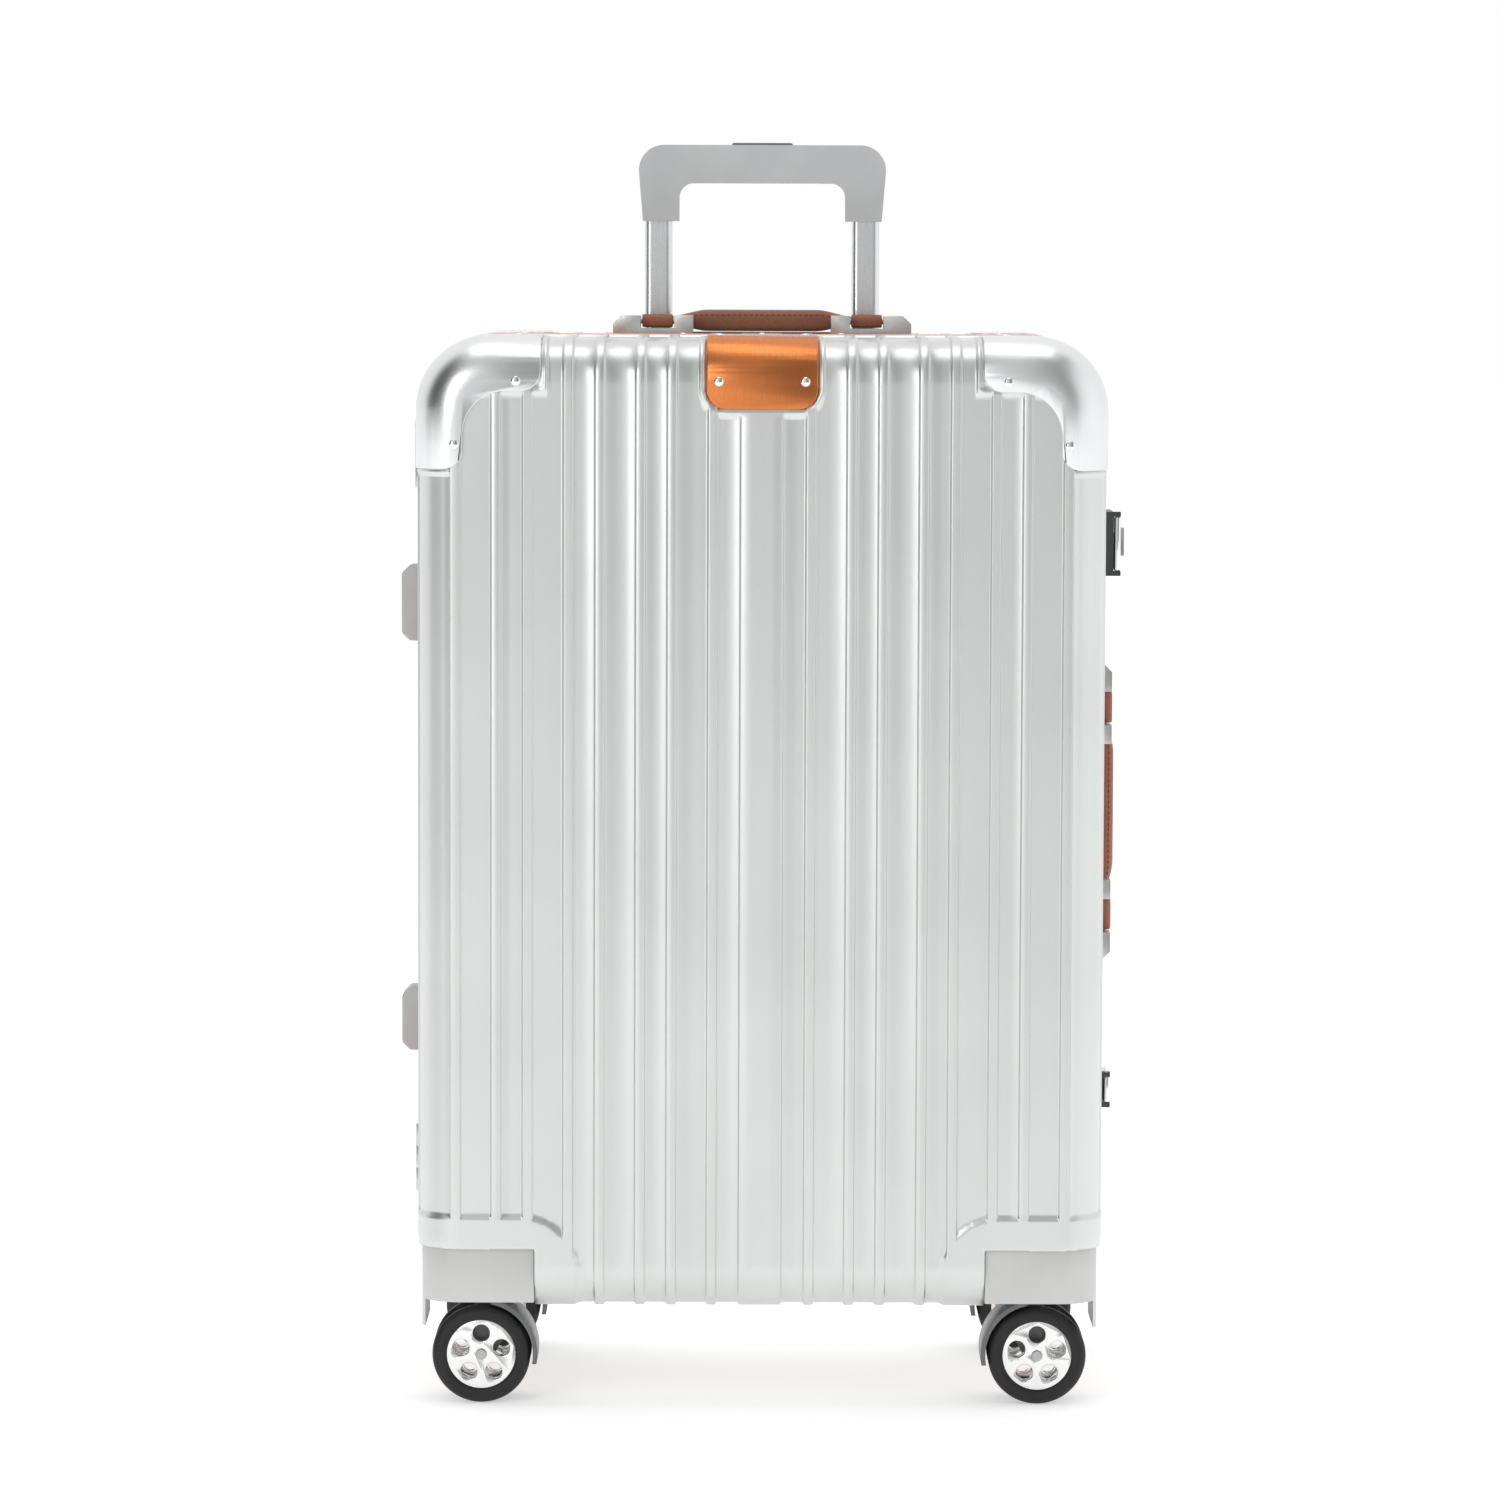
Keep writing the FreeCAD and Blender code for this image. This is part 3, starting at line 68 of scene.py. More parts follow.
RIB_HEIGHT = 1.6
CORNER, EDGE = 43, 25
shell_low, shell_high = reach("front_shell")
HALF_WIDTH = shell_high[0] - RIB_HEIGHT
DEPTH = -shell_low[1] - RIB_HEIGHT
BOTTOM, TOP = shell_low[2] + RIB_HEIGHT, shell_high[2] - RIB_HEIGHT
MIDDLE, HALF_HEIGHT = (TOP + BOTTOM) / 2, (TOP - BOTTOM) / 2
CORE_X, CORE_Z = HALF_WIDTH - CORNER, HALF_HEIGHT - CORNER
FLAT = CORNER - EDGE
ARC = EDGE * math.pi / 2
print(f"case {2 * HALF_WIDTH:.0f} x {2 * DEPTH:.0f} x {TOP - BOTTOM:.0f} mm")

# %% [markdown]
# ## The camera
# A product shot is taken from far away with a long lens, so that upright edges stay parallel.
# The camera stands nearly four metres off, a little above the handle, and looks slightly down.
# It could be aimed with a constraint, but fixed angles are simpler to read and to keep.

# %% Camera
camera_data = bpy.data.cameras.new("camera")
camera_data.sensor_width, camera_data.lens = 36, 146.6
camera_data.clip_end = 50
camera = bpy.data.objects.new("camera", camera_data)
bpy.context.scene.collection.objects.link(camera)
camera.matrix_world = (Matrix.Translation((-0.0075, -3.8004, 0.7019))
                       @ Matrix.Rotation(math.radians(-0.012), 4, "Z")
                       @ Matrix.Rotation(math.radians(90 - 4.65), 4, "X")
                       @ Matrix.Rotation(math.radians(0.185), 4, "Z"))
bpy.context.scene.camera = camera
print("camera stands", round(-camera.matrix_world.translation.y, 2), "m in front")

# %% [markdown]
# ## Writing shader maths as plain expressions
# A finish is a small sum: noise times a strength, plus a base value. Built node by node such a
# sum is hard to read. The class `Wire` wraps a socket, so that `0.3 + 0.1 * grain` adds the
# Math nodes itself. `Finish` holds one material, and its method `add` makes any other node.

# %% Wires and finishes
class Wire:
    """A value that flows through a material."""

    def __init__(self, finish, socket):
        self.finish, self.socket = finish, socket

    def _math(self, operation, first, second):
        return self.finish.add("ShaderNodeMath", {"operation": operation}, _0=first, _1=second)

    def __add__(self, other):
        return self._math("ADD", self, other)

    def __sub__(self, other):
        return self._math("SUBTRACT", self, other)

    def __rsub__(self, other):
        return self._math("SUBTRACT", other, self)

    def __mul__(self, other):
        return self._math("MULTIPLY", self, other)

    __radd__, __rmul__ = __add__, __mul__


class Finish:
    """One material: a Principled shader and the nodes that feed it."""

    def __init__(self, name, colour, **shader):
        self.material = bpy.data.materials.new(name)
        self.material.use_nodes = True
        self.tree = self.material.node_tree
        self.shader = self.tree.nodes["Principled BSDF"]
        self.material.diffuse_color = (*colour, 1)
        self.set(Base_Color=(*colour, 1), **shader)

    def set(self, **sockets):
        self._feed(self.shader, sockets)
        return self

    def _feed(self, node, sockets):
        for key, value in sockets.items():
            socket = node.inputs[int(key[1:]) if key.startswith("_") else key.replace("_", " ")]
            if isinstance(value, Wire):
                self.tree.links.new(value.socket, socket)
            else:
                socket.default_value = value

    def add(self, kind, settings=None, output=0, **sockets):
        node = self.tree.nodes.new(kind)
        for key, value in (settings or {}).items():
            setattr(node, key, value)
        self._feed(node, sockets)
        return Wire(self, node.outputs[output])

    def place(self, scale=(1, 1, 1)):
        """Object coordinates in metres, stretched along each axis."""
        spot = self.add("ShaderNodeTexCoord", output="Object")
        return self.add("ShaderNodeMapping", _0=spot, _3=scale)

    def noise(self, scale, detail=2.0, rough=0.5, stretch=(1, 1, 1)):
        return self.add("ShaderNodeTexNoise", Vector=self.place(stretch), Scale=scale,
                        Detail=detail, Roughness=rough)

    def cells(self, scale):
        return self.add("ShaderNodeTexVoronoi", Vector=self.place(), Scale=scale)

    def band(self, value, low, high, to_low=0.0, to_high=1.0):
        """Stretch part of a value's range to a new one."""
        return self.add("ShaderNodeMapRange", _0=value, _1=low, _2=high, _3=to_low, _4=to_high)

    def blend(self, factor, first, second):
        return self.add("ShaderNodeMix", {"data_type": "RGBA"}, output=2, _0=factor,
                        _6=first if isinstance(first, Wire) else (*first, 1),
                        _7=second if isinstance(second, Wire) else (*second, 1))

    def bump(self, height, distance, strength=1.0):
        return self.set(Normal=self.add("ShaderNodeBump", Height=height, Distance=distance,
                                        Strength=strength))


def shade(colour, factor):
    return tuple(min(1.0, c * factor) for c in colour)

# %% [markdown]
# ## Painted and metal finishes
# The shell is plastic under a satin silver lacquer with a fine sparkle: nearly a metal, but with
# a soft highlight and a faint orange-peel. Real metal plates could share it, but they look
# right only with their own traces: the guards are bead-blasted, the copper plate is brushed,
# which squeezes its noise into streaks, and the frame is drawn and anodised.

# %% Painted and metal finishes
def lacquer():
    tone = (0.70, 0.72, 0.705)
    f = Finish("silver_lacquer", tone, Metallic=0.86, IOR=1.5)
    grain, peel, cloud = f.noise(2600, 1.5), f.noise(420, 2), f.noise(9, 2)
    f.set(Base_Color=f.blend(f.band(cloud, 0.3, 0.7), shade(tone, 0.97), shade(tone, 1.03)),
          Roughness=f.band(grain, 0.25, 0.75, 0.30, 0.38))
    return f.bump(grain * 0.5 + peel, 0.00006, 0.55).material


def blasted():
    tone = (0.80, 0.815, 0.82)
    f = Finish("blasted_aluminium", tone, Metallic=1.0)
    grain, cloud = f.noise(3200, 2), f.noise(14, 3)
    f.set(Base_Color=f.blend(f.band(cloud, 0.3, 0.7), shade(tone, 0.95), shade(tone, 1.03)),
          Roughness=f.band(grain, 0.3, 0.7, 0.27, 0.34))
    return f.bump(grain, 0.00004, 0.5).material


def brushed(name, tone, dark, streak, low, high, depth=0.00004):
    """Metal with streaks along one direction; streak squeezes the noise across it."""
    f = Finish(name, tone, Metallic=1.0)
    lines, cloud = f.noise(60, 4, 0.65, streak), f.noise(18, 2)
    mottled = f.blend(f.band(cloud, 0.3, 0.7), tone, shade(tone, 1.06))
    f.set(Base_Color=f.blend(f.band(lines, 0.35, 0.65, 0.0, 0.55), mottled, dark),
          Roughness=f.band(lines, 0.3, 0.7, low, high))
    return f.bump(lines, depth, 0.6).material


def polished(name, tone, rough=0.07):
    f = Finish(name, tone, Metallic=1.0)
    smear = f.noise(160, 3)
    f.set(Roughness=f.band(smear, 0.3, 0.7, rough, rough + 0.06))
    return f.bump(smear, 0.00002, 0.3).material


LACQUER = lacquer()
BLASTED = blasted()
COPPER = brushed("brushed_copper", (0.70, 0.235, 0.075), (0.52, 0.15, 0.045), (60, 1.5, 1.5),
                 0.25, 0.36)
ANODISED = brushed("anodised_frame", (0.80, 0.43, 0.32), (0.66, 0.33, 0.24), (1, 60, 1), 0.26, 0.36)
ALUMINIUM = brushed("drawn_tube", (0.80, 0.81, 0.82), (0.68, 0.69, 0.70), (60, 60, 1), 0.20, 0.32)
CAST = brushed("cast_bracket", (0.66, 0.66, 0.65), (0.56, 0.56, 0.55), (6, 6, 6), 0.30, 0.42, 0.0001)
CHROME = polished("polished_chrome", (0.86, 0.86, 0.86))
HUB_SILVER = polished("hub_plating", (0.88, 0.88, 0.87), 0.16)
STEEL = brushed("plain_steel", (0.52, 0.52, 0.52), (0.40, 0.40, 0.40), (8, 8, 40), 0.28, 0.42)
print(len(bpy.data.materials), "metal finishes")

# %% [markdown]
# ## Plastics, rubber, leather and cloth
# Moulded plastic gets its look from the mould: spark-eroded pits, finer on a grip than on a
# housing. Leather is cells with creases between them, and painted shade darkens the creases.
# Woven cloth could be an image, but two crossed waves give threads that stay sharp at any
# distance.

# %% Plastics, rubber, leather and cloth
def moulded(name, tone, rough, pit=1500, depth=0.00008, wear=0.06):
    f = Finish(name, tone, IOR=1.46)
    pits, cloud = f.noise(pit, 2), f.noise(25, 3)
    f.set(Base_Color=f.blend(f.band(cloud, 0.3, 0.7), shade(tone, 1 - wear), shade(tone, 1 + wear)),
          Roughness=f.band(pits, 0.3, 0.7, rough - 0.05, rough + 0.06))
    return f.bump(pits, depth, 0.5).material


def hide(name, tone):
    f = Finish(name, tone, IOR=1.45, Specular_IOR_Level=0.42)
    cells, fine, cloud = f.cells(950), f.noise(2400, 2), f.noise(30, 3)
    crease = f.band(cells, 0.25, 0.75)
    worn = f.blend(f.band(cloud, 0.3, 0.7), shade(tone, 0.86), shade(tone, 1.14))
    # the creases are darkened towards a deep brown: painted shade in the creases
    f.set(Base_Color=f.blend(crease * 0.35, worn, shade(tone, 0.55)),
          Roughness=f.band(fine, 0.3, 0.7, 0.40, 0.55))
    return f.bump(fine * 0.4 - crease, 0.00012, 0.6).material


def woven(name, tone, thread, sheen=0.3, depth=0.00015):
    """Plain weave: threads along two directions take turns on top."""
    f = Finish(name, tone, Sheen_Weight=sheen, Roughness=0.85)
    settings = {"wave_type": "BANDS", "bands_direction": "DIAGONAL"}
    one = f.add("ShaderNodeTexWave", settings, output=1, Vector=f.place((1, 1, 1)), Scale=thread)
    two = f.add("ShaderNodeTexWave", settings, output=1, Vector=f.place((-1, 1, -1)), Scale=thread)
    cloud = f.noise(40, 3)
    weave = one * two
    f.set(Base_Color=f.blend(weave, shade(tone, 0.62), f.blend(f.band(cloud, 0.3, 0.7), tone,
                                                               shade(tone, 1.25))),
          Roughness=f.band(weave, 0, 1, 0.92, 0.78))
    return f.bump(weave, depth, 0.8).material


GREY_GRIP = moulded("grip_plastic", (0.60, 0.62, 0.63), 0.34, 2200, 0.00004)
GREY_FOOT = moulded("foot_plastic", (0.50, 0.52, 0.52), 0.42)
WARM_GREY = moulded("housing_plastic", (0.66, 0.665, 0.655), 0.36, 1700, 0.00005, 0.03)
DARK_GREY = moulded("fork_plastic", (0.055, 0.058, 0.06), 0.38)
FENDER_GREY = moulded("fender_plastic", (0.16, 0.165, 0.17), 0.34)
BLACK = moulded("black_plastic", (0.018, 0.018, 0.019), 0.45)
CHANNEL_GREY = moulded("channel_plastic", (0.20, 0.205, 0.21), 0.48)
RUBBER = moulded("tyre_rubber", (0.012, 0.012, 0.0125), 0.50, 900, 0.00008, 0.2)
SEAL = moulded("seal_rubber", (0.03, 0.03, 0.03), 0.62, 900)
LEATHER = hide("saddle_leather", (0.36, 0.135, 0.075))
THREAD = woven("leather_thread", (0.30, 0.12, 0.07), 2600, 0.2, 0.00003)
LINING = woven("lining_cloth", (0.115, 0.12, 0.13), 330, 0.4)
WEBBING = woven("elastic_webbing", (0.05, 0.05, 0.055), 520, 0.3, 0.0002)
print(len(bpy.data.materials), "finishes in all")

# %% [markdown]
# ## Soft edges on hard pieces
# No pressed, cast or moulded piece has a knife edge, and it is the small round along each edge
# that catches the light. The engineering shapes are exact but sharp. Each piece could be
# modelled again; instead a copy is welded, its flat facets are joined, and a bevel rounds every
# corner by an amount that suits how the piece is made.

# %% Pieces with rolled edges
FLAT_WITHIN, EDGE_FROM, LARGE_ROUND = math.radians(0.5), math.radians(32), 2
CASTERS = ("front_left", "front_right", "rear_left", "rear_right")


def add_piece(name, mesh, body, node, material=None):
    """Put a mesh in the scene as a piece that rides on a body and replaces a node."""
    mesh.name = name
    piece = bpy.data.objects.new(name, mesh)
    bpy.context.scene.collection.objects.link(piece)
    if material:
        mesh.materials.append(material)
    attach(piece, body)
    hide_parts(node)
    return piece


def to_mesh(name, work):
    """Turn a finished bmesh into a mesh and let go of it."""
    mesh = bpy.data.meshes.new(name)
    work.to_mesh(mesh)
    work.free()
    return mesh


def welded(node):
    """A bmesh copy of a node in which neighbouring faces share their corners."""
    source = bpy.data.objects[node]
    work = bmesh.new()
    work.from_mesh(source.data)
    work.transform(source.matrix_world)
    bmesh.ops.remove_doubles(work, verts=work.verts, dist=2e-6)
    bmesh.ops.recalc_face_normals(work, faces=work.faces)
    return work


def rounded(node, body, radius, material):
    """A copy of a node whose edges are rounded, more finely where the round is large."""
    work = welded(node)
    bmesh.ops.dissolve_limit(work, angle_limit=FLAT_WITHIN, verts=work.verts, edges=work.edges)
    for face in work.faces:
        face.smooth = True
        face.material_index = 0
    piece = add_piece(node + "_finished", to_mesh(node, work), body, node, material)
    bevel = piece.modifiers.new("rolled edge", "BEVEL")
    bevel.width, bevel.segments = radius * MM, 4 if radius > LARGE_ROUND else 2
    bevel.limit_method, bevel.angle_limit = "ANGLE", EDGE_FROM
    bevel.harden_normals = True


HARD = {
    "rear_case": [("rear_frame", 0.5, ANODISED),
                  ("rear_guard_left", 0.7, BLASTED), ("rear_guard_right", 0.7, BLASTED),
                  ("trolley_socket", 0.8, CHANNEL_GREY), ("trolley_base", 0.6, CHANNEL_GREY),
                  ("top_handle_brackets", 0.8, CAST), ("side_handle_brackets", 0.8, CAST),
                  ("latch_keepers", 0.5, CHROME), ("hinge_leaves_rear", 0.3, CAST),
                  ("hook_foot", 1.4, GREY_FOOT), ("plain_foot", 1.4, GREY_FOOT),
                  ("rear_left_housing", 0.9, WARM_GREY), ("rear_right_housing", 0.9, WARM_GREY),
                  ("strap_buckle", 0.8, BLACK)],
    "front_case": [("front_frame", 0.5, ANODISED),
                   ("front_guard_left", 0.7, BLASTED), ("front_guard_right", 0.7, BLASTED),
                   ("centre_plate", 0.7, COPPER), ("upper_latch_base", 0.6, DARK_GREY),
                   ("lower_latch_base", 0.6, DARK_GREY), ("hinge_leaves_front", 0.3, CAST),
                   ("front_left_housing", 0.9, WARM_GREY), ("front_right_housing", 0.9, WARM_GREY)],
    "trolley_handle": [("trolley_grip", 3.2, GREY_GRIP)],
    "trolley_button": [("trolley_button", 1.6, FENDER_GREY)],
    "upper_latch": [("upper_latch_lever", 1.1, CHROME)],
    "lower_latch": [("lower_latch_lever", 1.1, CHROME)],
}
for caster in CASTERS:
    HARD[caster + "_caster"] = [(caster + "_fork", 0.7, FENDER_GREY)]
    HARD[caster + "_wheels"] = [(caster + "_tyres", 1.2, RUBBER), (caster + "_hubs", 0.5, HUB_SILVER)]
for body, pieces in HARD.items():
    for node, radius, material in pieces:
        rounded(node, body, radius, material)
    print(body, "has", len(pieces), "rounded pieces")

# %% [markdown]
# ## The two shells
# Each half is pressed from one plastic sheet. Its skin has only two levels: panels, and what
# stands proud of them, which is the ribs, the rim along the frame, the rims round guards and
# plate, and the bosses over the wheels. The engineering ribs could be bevelled, but where ribs
# and corners meet the bevels collide. So the skin is drawn anew as a grid that follows the
# tray: a strip over the middle, one down each side and a fan on each corner. One distance
# function says where the skin is raised, and the grid is densest where that happens.

# %% Where the skin is raised
GUARD_IN, GUARD_ARM, GUARD_SIDE, GUARD_FOOT, GUARD_BACK, HOLLOW = 133, 622, 188, 573, 72, 26
plate_low, plate_high = reach("centre_plate")
housing_low, housing_high = reach("front_right_housing")
RIBS = [29.5, 54, 73, 97.5, 116.5, 141, 160, 184.5]
SIDE_RIB_PLACES = [30, 54.5, 73.5, 98]
BAND_HALF, RIB_HALF, RIB_END, SURROUND, FLANK = 13, 3, 4, 4, 1.3
LIP_END, FRAME_EDGE, GROOVE = 17.5, 13.2, 1.9
BOSS_X, BOSS_Z, BOSS_ROUND, BOSS_DEEP, PLATE_ROUND = 145, 85, 34, 30, 12


def raised(x, y, z, on_side, rear):
    """Distance in millimetres to the nearest raised region and metal plate; negative inside."""
    x, y = abs(x), -abs(y)
    ways = [-y - LIP_END, x - BAND_HALF]
    if on_side and abs(z - MIDDLE) < CORE_Z - RIB_END:
        ways += [abs(-y - place) - RIB_HALF for place in SIDE_RIB_PLACES]
    if abs(z - MIDDLE) < CORE_Z or x <= CORE_X:
        ways += [abs(x - place) - RIB_HALF for place in RIBS]
    ways.append(max(math.hypot(max(BOSS_X - x, 0), max(z - BOSS_Z, 0)) - BOSS_ROUND, y + BOSS_DEEP))
    a, b = GUARD_SIDE - x, GUARD_ARM - z
    hollow = HOLLOW - math.hypot(max(HOLLOW - a, 0), max(HOLLOW - b, 0))
    metal = [max(hollow, GUARD_IN - x, GUARD_FOOT - z, y + GUARD_BACK)]
    if not rear:
        a, b = x - plate_high[0] + PLATE_ROUND, plate_low[2] + PLATE_ROUND - z
        metal.append(max(math.hypot(max(a, 0), max(b, 0)) - PLATE_ROUND, y + GUARD_BACK))
    return min(ways + [min(metal) - SURROUND]), min(metal)


def level(distance, metal):
    """Height of the skin; a narrow groove runs where it meets a metal plate."""
    return (RIB_HEIGHT * ease(-distance, -FLANK / 2, FLANK / 2)
            - GROOVE * ease(-metal, -0.9, -0.5) * ease(metal, -2.2, -1.8))


def ease(value, start, end):
    t = min(1.0, max(0.0, (value - start) / (end - start)))
    return t * t * (3 - 2 * t)


def around(places, half):
    """Grid lines on both flanks of raised strips."""
    lines = set()
    for place in places:
        for edge in (place - half, place + half):
            lines |= {round(edge + k * FLANK / 4, 3) for k in (-2.2, -0.8, 0.8, 2.2)}
    return lines


# %% [markdown]
# ## The grid of one half
# A point of the skin is found by walking from a core line straight outwards: first over the flat
# face, then round the edge, then along the wall to the rim. The same walk serves the strip, the
# sides and the corner fans; only the core line and the direction differ. The grid lines stand
# on the flanks of the ribs, where the height changes, and are sparse on the panels between.

# %% Rows and columns of the grid
def tray_spot(centre, way, t):
    """Point and normal of the panel level, t millimetres out from a core line."""
    turn = min(max((t - FLAT) / EDGE, 0), math.pi / 2)
    out = min(t, FLAT) + EDGE * math.sin(turn)
    y = -DEPTH + EDGE * (1 - math.cos(turn)) + max(t - FLAT - ARC, 0)
    spot = Vector((centre[0] + way[0] * out, y, MIDDLE + centre[1] + way[1] * out))
    normal = Vector((way[0] * math.sin(turn), -math.cos(turn), way[1] * math.sin(turn)))
    return spot, normal


def wall_t(y):
    """Length of the walk that ends on the wall, y millimetres before the parting plane."""
    return FLAT + ARC + DEPTH - EDGE - y


RIM_ROWS = [wall_t(y) for y in (22, 18.2, 17.7, 17.3, 16.8, 15.4, 13.3)]
OUT_ROWS = sorted({float(t) for t in np.arange(0, FLAT, 1.8)} | {FLAT + ARC * k / 8 for k in range(9)}
                  | {wall_t(y) for y in (90, 72.4, 71.4, 68.6, 67.6, 60, 45, 30.5, 29.5)}
                  | set(RIM_ROWS))
SIDE_ROWS = sorted(set(OUT_ROWS) | {wall_t(y) for y in around(SIDE_RIB_PLACES, RIB_HALF)}
                   | {t - CORE_X for t in around(RIBS[-1:], RIB_HALF)})
COLUMNS = sorted({s * x for s in (-1, 1) for x in around(RIBS[:-1], RIB_HALF) | around([0], BAND_HALF)
                  | around([plate_high[0] + SURROUND], 0) | around([GUARD_IN - SURROUND], 0)
                  | set(np.arange(109, 152, 2.0)) | set(np.arange(22, 41, 1.5))
                  | {0, 6, 64, 85, CORE_X} if x <= CORE_X})
FOOT_ROWS = list(np.arange(-CORE_Z, -CORE_Z + 17, 1.5))
FACE_ROWS = FOOT_ROWS + list(np.linspace(-CORE_Z + 24, CORE_Z - 52, 9))
PLATE_ROWS = FACE_ROWS + list(np.arange(CORE_Z - 40, CORE_Z, 1.4)) + [CORE_Z]


# %% [markdown]
# ## Pressing the shells
# The front half is made first and the rear half is its mirror image, without the centre plate
# and with a hole for the trolley's socket. Where a caster housing is let in, the skin is cut
# along the housing's edges and taken out, as the press tool would punch it.

# %% Both shells
SOCKET_HALF, SOCKET_NEAR, SOCKET_FAR, CUT_PLAY = 83.5, 71, 105, 0.3
FAN_STEPS, WALL, PANEL_X = 20, 2.3, 20
UNDER_FRAME = [wall_t(FRAME_EDGE - 0.05), wall_t(4)]


def shell_mesh(name, rear):
    """The skin of one half, panels and raised regions in one grid."""
    work = bmesh.new()

    def patch(rows, columns, on_side, make):
        grid = []
        for row in rows:
            verts = []
            for column in columns:
                spot, normal = make(row, column)
                lift = level(*raised(*spot, on_side, rear)) if spot.y < -FRAME_EDGE else 0
                verts.append(work.verts.new((spot + normal * lift) * MM))
            grid.append(verts)
        for low, high in zip(grid, grid[1:]):
            for k in range(len(columns) - 1):
                work.faces.new((low[k], low[k + 1], high[k + 1], high[k]))

    for end in (-1, 1):
        patch(OUT_ROWS + UNDER_FRAME, COLUMNS, False,
              lambda t, x: tray_spot((x, end * CORE_Z), (0, end), t))
        patch(PLATE_ROWS, SIDE_ROWS + UNDER_FRAME, True,
              lambda z, t: tray_spot((end * CORE_X, z), (end, 0), t))
    patch(PLATE_ROWS, COLUMNS, False, lambda z, x: tray_spot((x, z), (0, 0), 0))
    fan = [math.pi / 2 * k / FAN_STEPS for k in range(FAN_STEPS + 1)]
    for side in (-1, 1):
        for end in (-1, 1):
            patch(SIDE_ROWS + UNDER_FRAME, fan, True,
                  lambda t, a: tray_spot((side * CORE_X, end * CORE_Z),
                                         (side * math.sin(a), end * math.cos(a)), t))
    bmesh.ops.remove_doubles(work, verts=work.verts, dist=2e-5)
    bmesh.ops.dissolve_degenerate(work, edges=work.edges, dist=1e-6)
    cut_low, cut_high = housing_low - CUT_PLAY, housing_high + CUT_PLAY
    planes = [((0, 0, cut_high[2]), (0, 0, 1)), ((0, cut_high[1], 0), (0, 1, 0)),
              ((cut_low[0], 0, 0), (1, 0, 0)), ((-cut_low[0], 0, 0), (1, 0, 0))]
    if rear:
        planes += [((0, -SOCKET_FAR, 0), (0, 1, 0)), ((0, -SOCKET_NEAR, 0), (0, 1, 0)),
                   ((SOCKET_HALF, 0, 0), (1, 0, 0)), ((-SOCKET_HALF, 0, 0), (1, 0, 0))]
    for spot, normal in planes:
        bmesh.ops.bisect_plane(work, geom=work.verts[:] + work.edges[:] + work.faces[:],
                               plane_co=Vector(spot) * MM, plane_no=normal, dist=1e-6)
    gone = []
    for face in work.faces:
        x, y, z = face.calc_center_median() / MM
        in_housing = abs(x) > cut_low[0] and y < cut_high[1] and z < cut_high[2]
        in_socket = (rear and z > TOP - WALL and abs(x) < SOCKET_HALF
                     and -SOCKET_FAR < y < -SOCKET_NEAR)
        if in_housing or in_socket:
            gone.append(face)
    bmesh.ops.delete(work, geom=gone, context="FACES")
    if rear:
        work.transform(Matrix.Scale(-1, 4, (0, 1, 0)))
    bmesh.ops.recalc_face_normals(work, faces=work.faces)
    out = 1 if rear else -1
    panel = Vector((PANEL_X, out * DEPTH, MIDDLE)) * MM
    middle = min(work.faces, key=lambda f: (f.calc_center_median() - panel).length)
    if middle.normal.y * out < 0:
        bmesh.ops.reverse_faces(work, faces=work.faces)
    for face in work.faces:
        face.smooth = True
    return to_mesh(name, work)


for name, body, rear in (("front_shell", "front_case", False), ("rear_shell", "rear_case", True)):
    shell = add_piece(name + "_pressed", shell_mesh(name, rear), body, name, LACQUER)
    wall = shell.modifiers.new("wall", "SOLIDIFY")
    wall.thickness, wall.offset = WALL * MM, -1
    print(name, len(shell.data.polygons), "faces")

# %% [markdown]
# ## What stays as drawn
# Pins, axles, drawn tubes and the rubber seal are straight stock on the real case as well. They
# keep their engineering shape and only take a finish.

# %% Finishes on straight stock
STOCK = {"frame_gasket": SEAL, "trolley_outer_tubes": ALUMINIUM, "trolley_mid_tubes": ALUMINIUM,
         "trolley_inner_tubes": ALUMINIUM, "handle_pins": STEEL, "hinge_pins": STEEL,
         "rear_kingpins": STEEL, "front_kingpins": STEEL}
STOCK.update({caster + "_axle": STEEL for caster in CASTERS})
for node, material in STOCK.items():
    mesh = bpy.data.objects[node].data
    mesh.materials.clear()
    mesh.materials.append(material)
print(len(STOCK), "nodes only take a finish")

# %% [markdown]
# ## Rivets
# A rivet is the same small dome many times over, each facing away from the sheet it holds. They
# could be copied by hand, but a rule is shorter and keeps them alike: Geometry Nodes stands one
# head on every point and turns it to the direction stored with that point. The points come from
# the engineering rivets.

